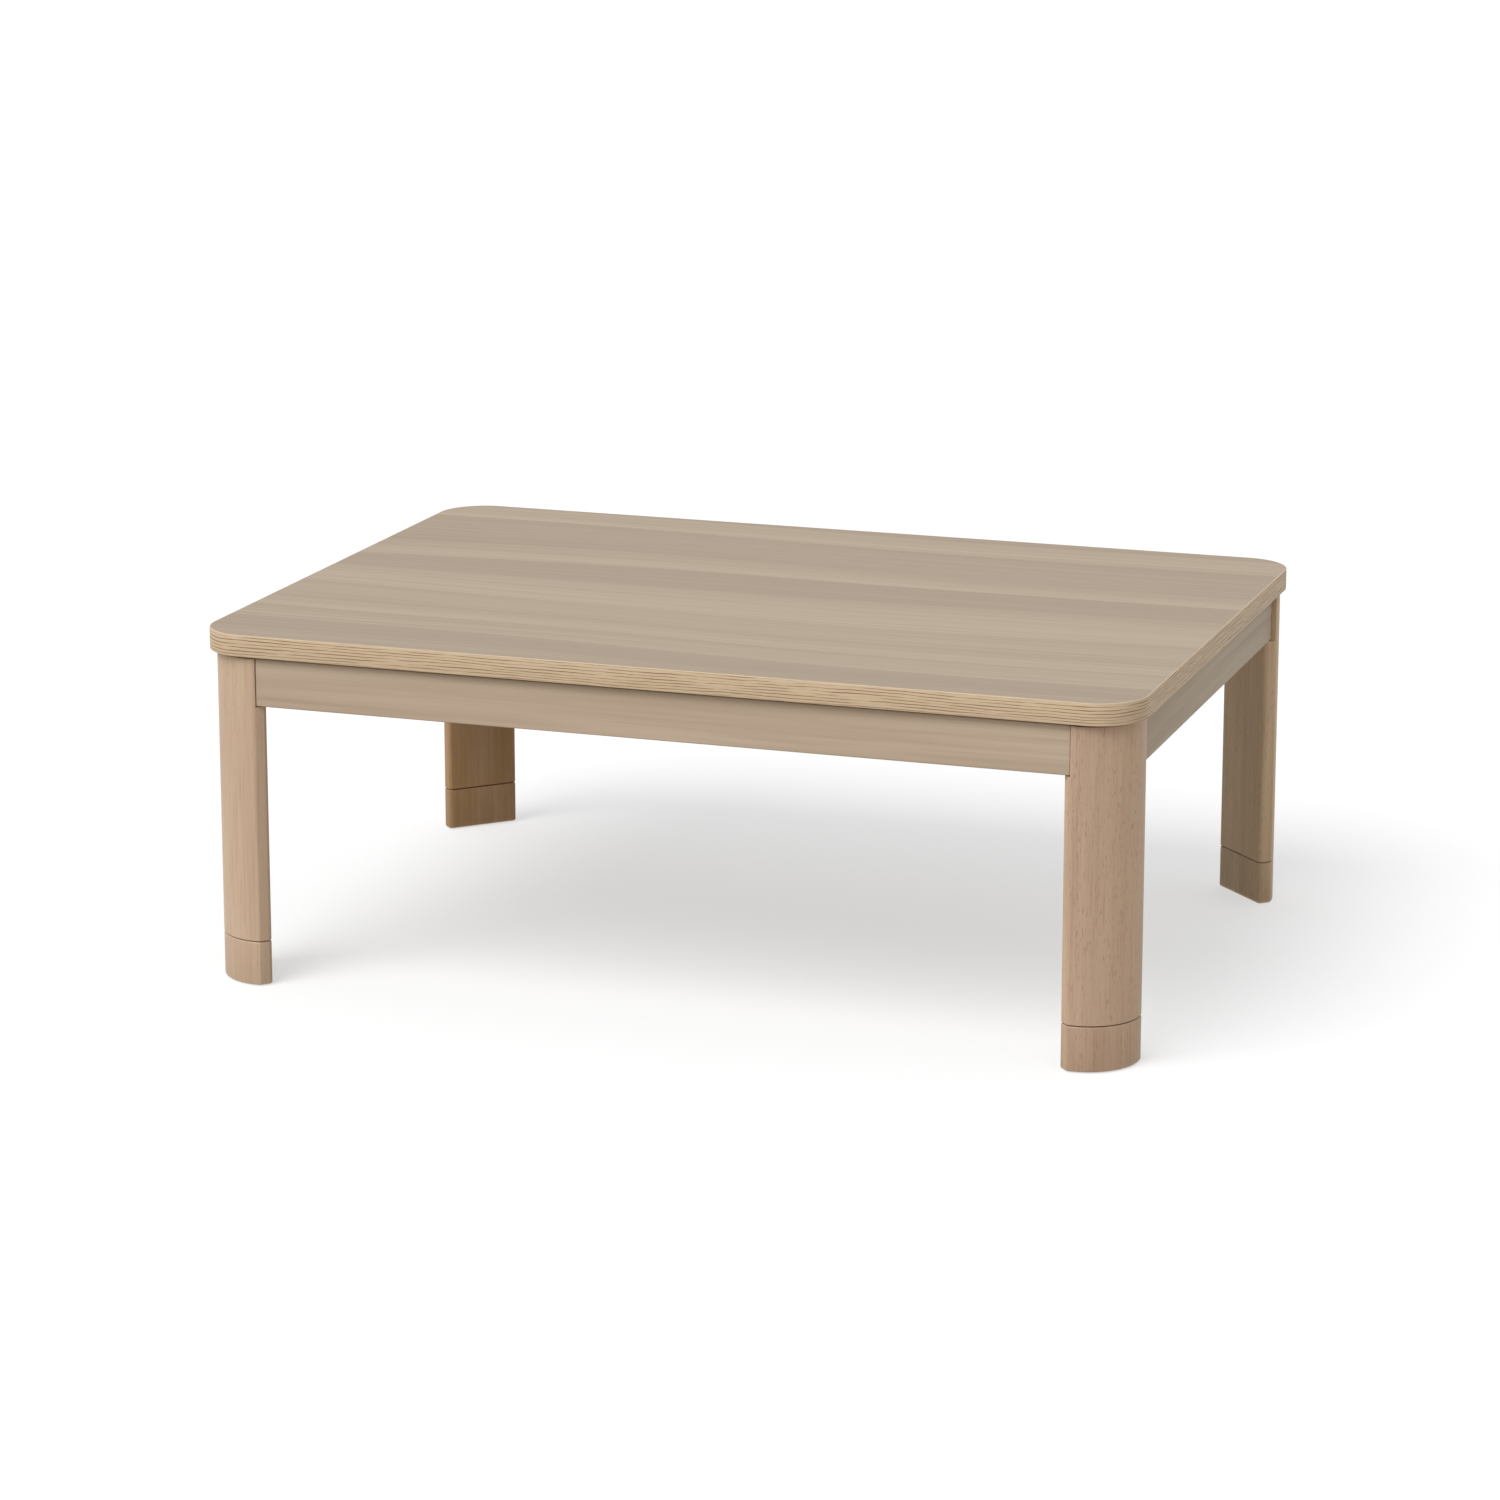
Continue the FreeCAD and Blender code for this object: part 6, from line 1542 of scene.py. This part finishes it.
low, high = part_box("tube_holders")
near = high.y - HOLDER_SHEET
far = near + HOLDER_SHEET
bend = (far - HOLDER_BEND, high.z - HOLDER_BEND)
section = [(far, low.z)] + arc_points(*bend, HOLDER_BEND, 0, 90, 4)
section += [(near - HOLDER_TAB, high.z), (near - HOLDER_TAB, high.z - HOLDER_SHEET)]
section += arc_points(*bend, HOLDER_BEND - HOLDER_SHEET, 90, 0, 4) + [(near, low.z)]
plate = skin([[(x, y, z) for y, z in section] for x in (TUBE_SPREAD - (high.x - TUBE_SPREAD), high.x)])
place = facing((TUBE_SPREAD, near, tube_level), (0, 1, 0))
plate = carve(plate, [drill(CAP_RADIUS, place, -HOLDER_SHEET, 2 * HOLDER_SHEET)])
halves = [Matrix.Rotation(turn, 4, "Z") for turn in (0, math.pi)]
spots = [half @ Matrix.Translation((shift, 0, 0)) for half in halves for shift in (0, -2 * TUBE_SPREAD)]
holder_steel = metal_finish("holder_zinc", *HOLDER_SHADES, 0.35, 80)
mesh = repeated(soften(plate, HOLDER_EASE, 1), spots, holder_steel)
mesh.shade_flat()
place_piece("tube_holders", mesh, holder_steel, "frame")

# Fan motor
# A small shaded-pole motor in a drawn steel can stands on the reflector and drives the wheel on
# its shaft. A groove runs round the can's foot, and its boss passes through the reflector.
MOTOR_RADIUS = 22 * MM
MOTOR_ROUND = 2 * MM
MOTOR_BOSS = 5 * MM
MOTOR_GROOVE = 0.5 * MM
SHAFT_RADIUS = 1.5 * MM
SHAFT_CLEARANCE = 0.06 * MM
CAN_SHADES = (rgb(178, 180, 180), rgb(142, 146, 148))

low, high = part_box("fan_motor")
shaft_low, shaft_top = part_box("fan_shaft")
shelf = low.z + REFLECTOR_SHEET
running = SHAFT_RADIUS + SHAFT_CLEARANCE
rim, groove = MOTOR_RADIUS, MOTOR_RADIUS - MOTOR_GROOVE
dimple = high.z - MOTOR_GROOVE
profile = [(running, shaft_top.z + 2 * SHAFT_CLEARANCE), (running, low.z), (MOTOR_BOSS - 0.2 * MM, low.z)]
profile += [(MOTOR_BOSS, low.z + 0.2 * MM), (MOTOR_BOSS, shelf)]
profile += [(rim - 0.4 * MM, shelf), (rim, shelf + 0.4 * MM), (rim, shelf + 2.2 * MM)]
profile += [(groove, shelf + 2.4 * MM), (groove, shelf + 3 * MM), (rim, shelf + 3.2 * MM)]
profile += arc_points(rim - MOTOR_ROUND, high.z - MOTOR_ROUND, MOTOR_ROUND, 0, 90, 5)
profile += [(7 * MM, high.z), (6.4 * MM, dimple), (2.4 * MM, dimple), (1.8 * MM, high.z)]
can = metal_finish("motor_can", *CAN_SHADES, 0.34, 70)
place_piece("fan_motor", turned(profile, 56), can, "frame")

# Fan shaft
# The motor's shaft is ground steel, chamfered at both ends. The wheel's hub is pressed on it, and
# both turn together.
SHAFT_TIP = 0.3 * MM
STEEL_SHADES = (rgb(214, 214, 214), rgb(188, 190, 192))

wide, tip = SHAFT_RADIUS, SHAFT_TIP
profile = [(wide - tip, shaft_low.z), (wide, shaft_low.z + tip)]
profile += [(wide, shaft_top.z - tip), (wide - tip, shaft_top.z)]
ground = metal_finish("ground_steel", *STEEL_SHADES, 0.2, 160)
place_piece("fan_shaft", turned(profile), ground, "fan")

# Fan wheel
# A light wheel pressed from aluminium: a disc on a hub, and leaning blades folded down under it
# that drive the warm air out sideways.
WHEEL_RADIUS = 42 * MM
WHEEL_DISC = 1.2 * MM
HUB_RADIUS = 7 * MM
BLADE_ROOT = 15 * MM
BLADE_THICKNESS = 1 * MM
BLADE_COUNT = 11
BLADE_LEAN_DEG = 32
BLADE_BOW = 1.6 * MM
BLADE_STEPS = 8
BLADE_FOOT = 0.3 * MM
DISC_EDGE = 0.4 * MM
HUB_EASE = 0.8 * MM
WHEEL_SHADES = (rgb(216, 218, 220), rgb(188, 191, 194))

low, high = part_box("fan_wheel")
under = high.z - WHEEL_DISC
edge, hub_low = DISC_EDGE, shaft_low.z
profile = [(SHAFT_RADIUS, high.z), (SHAFT_RADIUS, hub_low), (HUB_RADIUS - HUB_EASE, hub_low)]
profile += [(HUB_RADIUS, hub_low + HUB_EASE), (HUB_RADIUS, under - WHEEL_DISC)]
profile += [(HUB_RADIUS + WHEEL_DISC, under), (WHEEL_RADIUS - edge, under)]
profile += [(WHEEL_RADIUS, under + edge), (WHEEL_RADIUS, high.z - edge)]
profile += [(WHEEL_RADIUS - edge, high.z)]
disc = turned(profile, 66, closed=True)
length = (WHEEL_RADIUS - BLADE_ROOT) * math.cos(math.radians(BLADE_LEAN_DEG))
shares = [n / BLADE_STEPS for n in range(BLADE_STEPS + 1)]
line = [(length * share, BLADE_BOW * (math.sin(math.pi * share) - 0.5)) for share in shares]
half = BLADE_THICKNESS / 2
section = [(x, y + half) for x, y in line] + [(x, y - half) for x, y in reversed(line)]
blade = skin(prism(section, low.z, low.z + BLADE_FOOT, under + edge))
lean = Matrix.Translation((BLADE_ROOT, 0, 0)) @ Matrix.Rotation(math.radians(BLADE_LEAN_DEG), 4, "Z")
turns = [Matrix.Rotation(2 * math.pi * n / BLADE_COUNT, 4, "Z") @ lean for n in range(BLADE_COUNT)]
wheel_metal = metal_finish("wheel_aluminium", *WHEEL_SHADES, 0.3, 60)
mesh = joined(disc, repeated(blade, turns, wheel_metal))
place_piece("fan_wheel", mesh, wheel_metal, "fan")

# Terminal block
# The supply's four wires meet in a block of off-white resin with a sunk screw over each and a wire
# hole on either side. It stands on the reflector.
TERMINAL_ROUND = 1.2 * MM
TERMINAL_EASE = 0.4 * MM
TERMINAL_PITCH = 8 * MM
TERMINAL_COUNT = 4
WELL_RADIUS = 2.4 * MM
WELL_DEPTH = 3 * MM
WIRE_HOLE = 1.5 * MM
WIRE_HOLE_LEVEL = 3 * MM
WIRE_HOLE_DEPTH = 2.5 * MM
TERMINAL_SHADES = (rgb(226, 219, 203), rgb(212, 204, 187))

low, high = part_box("terminal_block")
middle, half = (low + high) / 2, (high - low) / 2
block = eased_plate(half.x, half.y, TERMINAL_ROUND, low.z, high.z, TERMINAL_EASE, SMALL_STEPS)
cutters = []
screw_row = [middle.y + shift for shift in row_of(TERMINAL_COUNT, TERMINAL_PITCH)]
for across in screw_row:
    cutters.append(bore(middle.x, across, WELL_RADIUS, high.z - WELL_DEPTH, high.z + WELL_DEPTH))
    for side in (-1, 1):
        place = facing((middle.x + side * half.x, across, low.z + WIRE_HOLE_LEVEL), (side, 0, 0))
        cutters.append(drill(WIRE_HOLE, place, -WIRE_HOLE_DEPTH, WIRE_HOLE_DEPTH))
well_places = [Matrix.Translation((middle.x, across, high.z - WELL_DEPTH)) for across in screw_row]
mesh = carve(moved(block, middle.x, middle.y, 0), cutters)
off_white = soft_finish("off_white_resin", *TERMINAL_SHADES, 0.5, scale=400)
place_piece("terminal_block", mesh, off_white, "frame")

# Thermostat
# A snap-disc thermostat in dark phenolic sits on a small steel foot and feels the reflector's heat.
# Its cover is crimped round below.
THERMOSTAT_RADIUS = 9 * MM
THERMOSTAT_FOOT = 1.2 * MM
THERMOSTAT_FOOT_ROUND = 2 * MM
THERMOSTAT_FOOT_EASE = 0.2 * MM
PHENOLIC_SHADES = (rgb(66, 52, 44), rgb(46, 38, 34))

low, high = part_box("thermostat")
middle, half = (low + high) / 2, (high - low) / 2
corner, ease = THERMOSTAT_FOOT_ROUND, THERMOSTAT_FOOT_EASE
foot = eased_plate(half.x, half.y, corner, low.z, low.z + THERMOSTAT_FOOT, ease, SMALL_STEPS)
rim = THERMOSTAT_RADIUS
profile = [(rim, low.z + THERMOSTAT_FOOT / 2), (rim, low.z + 3 * MM), (rim - 0.6 * MM, low.z + 3.4 * MM)]
profile += [(rim - 0.6 * MM, high.z - 1.6 * MM), (rim - 1.2 * MM, high.z - 1 * MM)]
profile += [(rim - 4 * MM, high.z - 1 * MM), (rim - 4.4 * MM, high.z)]
mesh = moved(joined(foot, turned(profile, 48)), middle.x, middle.y, 0)
phenolic = soft_finish("phenolic", *PHENOLIC_SHADES, 0.4, scale=300)
place_piece("thermostat", mesh, phenolic, "frame")

# Thermal fuse
# A tinned fuse cartridge lies in a folded clip on the reflector. It cuts the current for good if
# all else fails.
FUSE_RADIUS = 2.4 * MM
FUSE_CLIP = 0.8 * MM
FUSE_NECK = 0.7 * MM
FUSE_END = 1.2 * MM
CLIP_WIDTH = 5 * MM
TIN_SHADES = (rgb(206, 204, 198), rgb(180, 178, 172))

low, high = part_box("thermal_fuse")
middle = (low + high) / 2
axis_level = high.z - FUSE_RADIUS
length = high.x - low.x
neck, body_end = FUSE_NECK, FUSE_END
profile = [(FUSE_RADIUS - neck, 0), (FUSE_RADIUS - neck / 3, body_end / 3), (FUSE_RADIUS, body_end)]
profile += [(FUSE_RADIUS, length - body_end), (FUSE_RADIUS - neck / 3, length - body_end / 3)]
cartridge = turned(profile + [(FUSE_RADIUS - neck, length)])
cartridge.transform(facing((low.x, middle.y, axis_level), (1, 0, 0)))
outer, inner = FUSE_RADIUS + FUSE_CLIP, FUSE_RADIUS
section = [(outer, axis_level), (outer, low.z), (-outer, low.z), (-outer, axis_level), (-inner, axis_level)]
section += arc_points(0, axis_level, inner, 180, 360, 10)[1:]
faces = (middle.x - CLIP_WIDTH / 2, middle.x + CLIP_WIDTH / 2)
clip = skin([[(x, middle.y + y, z) for y, z in section] for x in faces])
tin = metal_finish("fuse_tin", *TIN_SHADES, 0.3, 140)
place_piece("thermal_fuse", joined(cartridge, clip), tin, "frame")

# Supply inlet
# The supply lead plugs into a recessed inlet, moulded in black heat-proof resin. Its flange lies on
# the bezel's right wall and its body reaches in through the wall's window.
INLET_FLANGE_DEPTH = 1.6 * MM
INLET_FLANGE_ROUND = 2.5 * MM
INLET_FLANGE_EASE = 0.5 * MM
INLET_BODY_ROUND = 0.6 * MM
INLET_BODY_EASE = 0.3 * MM
RECESS_ROUND = 1.5 * MM
RECESS_DEPTH = 14 * MM
RECESS_HALF = Vector((13.5 * MM, 5 * MM))
PIN_RADIUS = 2 * MM
PIN_SPREAD = 6.5 * MM
PIN_ROOT = 2 * MM
PIN_LENGTH = 11 * MM

level = (inlet_low.z + inlet_high.z) / 2
mouth = facing((inlet_high.x, 0, level), (1, 0, 0))
half_wide, half_tall = inlet_high.y, (inlet_high.z - inlet_low.z) / 2
back = inlet_low.x - inlet_high.x
edges = (INLET_FLANGE_ROUND, -INLET_FLANGE_DEPTH, 0, INLET_FLANGE_EASE)
flange = eased_plate(half_tall, half_wide, *edges, SMALL_STEPS)
body_half = (half_tall - INLET_FLANGE, half_wide - INLET_FLANGE)
body = eased_plate(*body_half, INLET_BODY_ROUND, back, -INLET_FLANGE_DEPTH / 2, INLET_BODY_EASE, 3)
recess = rounded_outline(RECESS_HALF.y, RECESS_HALF.x, RECESS_ROUND, SMALL_STEPS)
cutters = [cutter_of(recess, -RECESS_DEPTH, RECESS_DEPTH)]
cutters += [bore(0, side * PIN_SPREAD, PIN_RADIUS, -RECESS_DEPTH - PIN_ROOT, 0) for side in (-1, 1)]
mesh = carve(carve(flange, [scene_object("body", body)], "UNION"), cutters)
mesh.transform(mouth)
inlet_resin = soft_finish("inlet_resin", *RESIN_SHADES, 0.45, scale=800)
place_piece("power_inlet", mesh, inlet_resin, "frame")

# Contacts
# The inlet's two pins and the terminal block's four cheese-head screws are brass with a thin
# flash of nickel. The pins are moulded in, and the screws stand in the block's wells.
CONTACT_HEIGHT = 2.2 * MM
CONTACT_SLOT = 0.6 * MM
CONTACT_EASE = 0.25 * MM
PIN_TIP = 0.8 * MM
BRASS_SHADES = (rgb(214, 186, 128), rgb(184, 154, 98))

tip, end = PIN_TIP, PIN_LENGTH - RECESS_DEPTH
profile = [(PIN_RADIUS, -RECESS_DEPTH - PIN_ROOT), (PIN_RADIUS, end - tip)]
profile += [(PIN_RADIUS - 0.3 * tip, end - 0.3 * tip), (PIN_RADIUS - tip, end)]
brass = metal_finish("flashed_brass", *BRASS_SHADES, 0.26, 120)
places = [mouth @ Matrix.Translation((0, side * PIN_SPREAD, 0)) for side in (-1, 1)]
pins = repeated(turned(profile), places, brass)
height, edge = CONTACT_HEIGHT, CONTACT_EASE
head = turned([(WELL_RADIUS, 0), (WELL_RADIUS, height - edge), (WELL_RADIUS - edge, height)])
head = carve(head, [block_cutter(2 * WELL_RADIUS, CONTACT_SLOT / 2, height / 2, 2 * height)])
heads = repeated(head, well_places, brass, spin=math.pi, seed=2)
place_piece("brass_contacts", joined(pins, heads), brass, "frame")

# Leads
# Short leads join inlet, block, motor, thermostat, fuse and tubes. They wear white glass-fibre
# braid over silicone, so they stand the heat.
BRAID_SHADES = (rgb(232, 228, 218), rgb(206, 200, 188))

braid = soft_finish("glass_braid", *BRAID_SHADES, 0.75, scale=500, sheen=0.2, depth=0.08 * MM)
dress("heater_leads", braid)
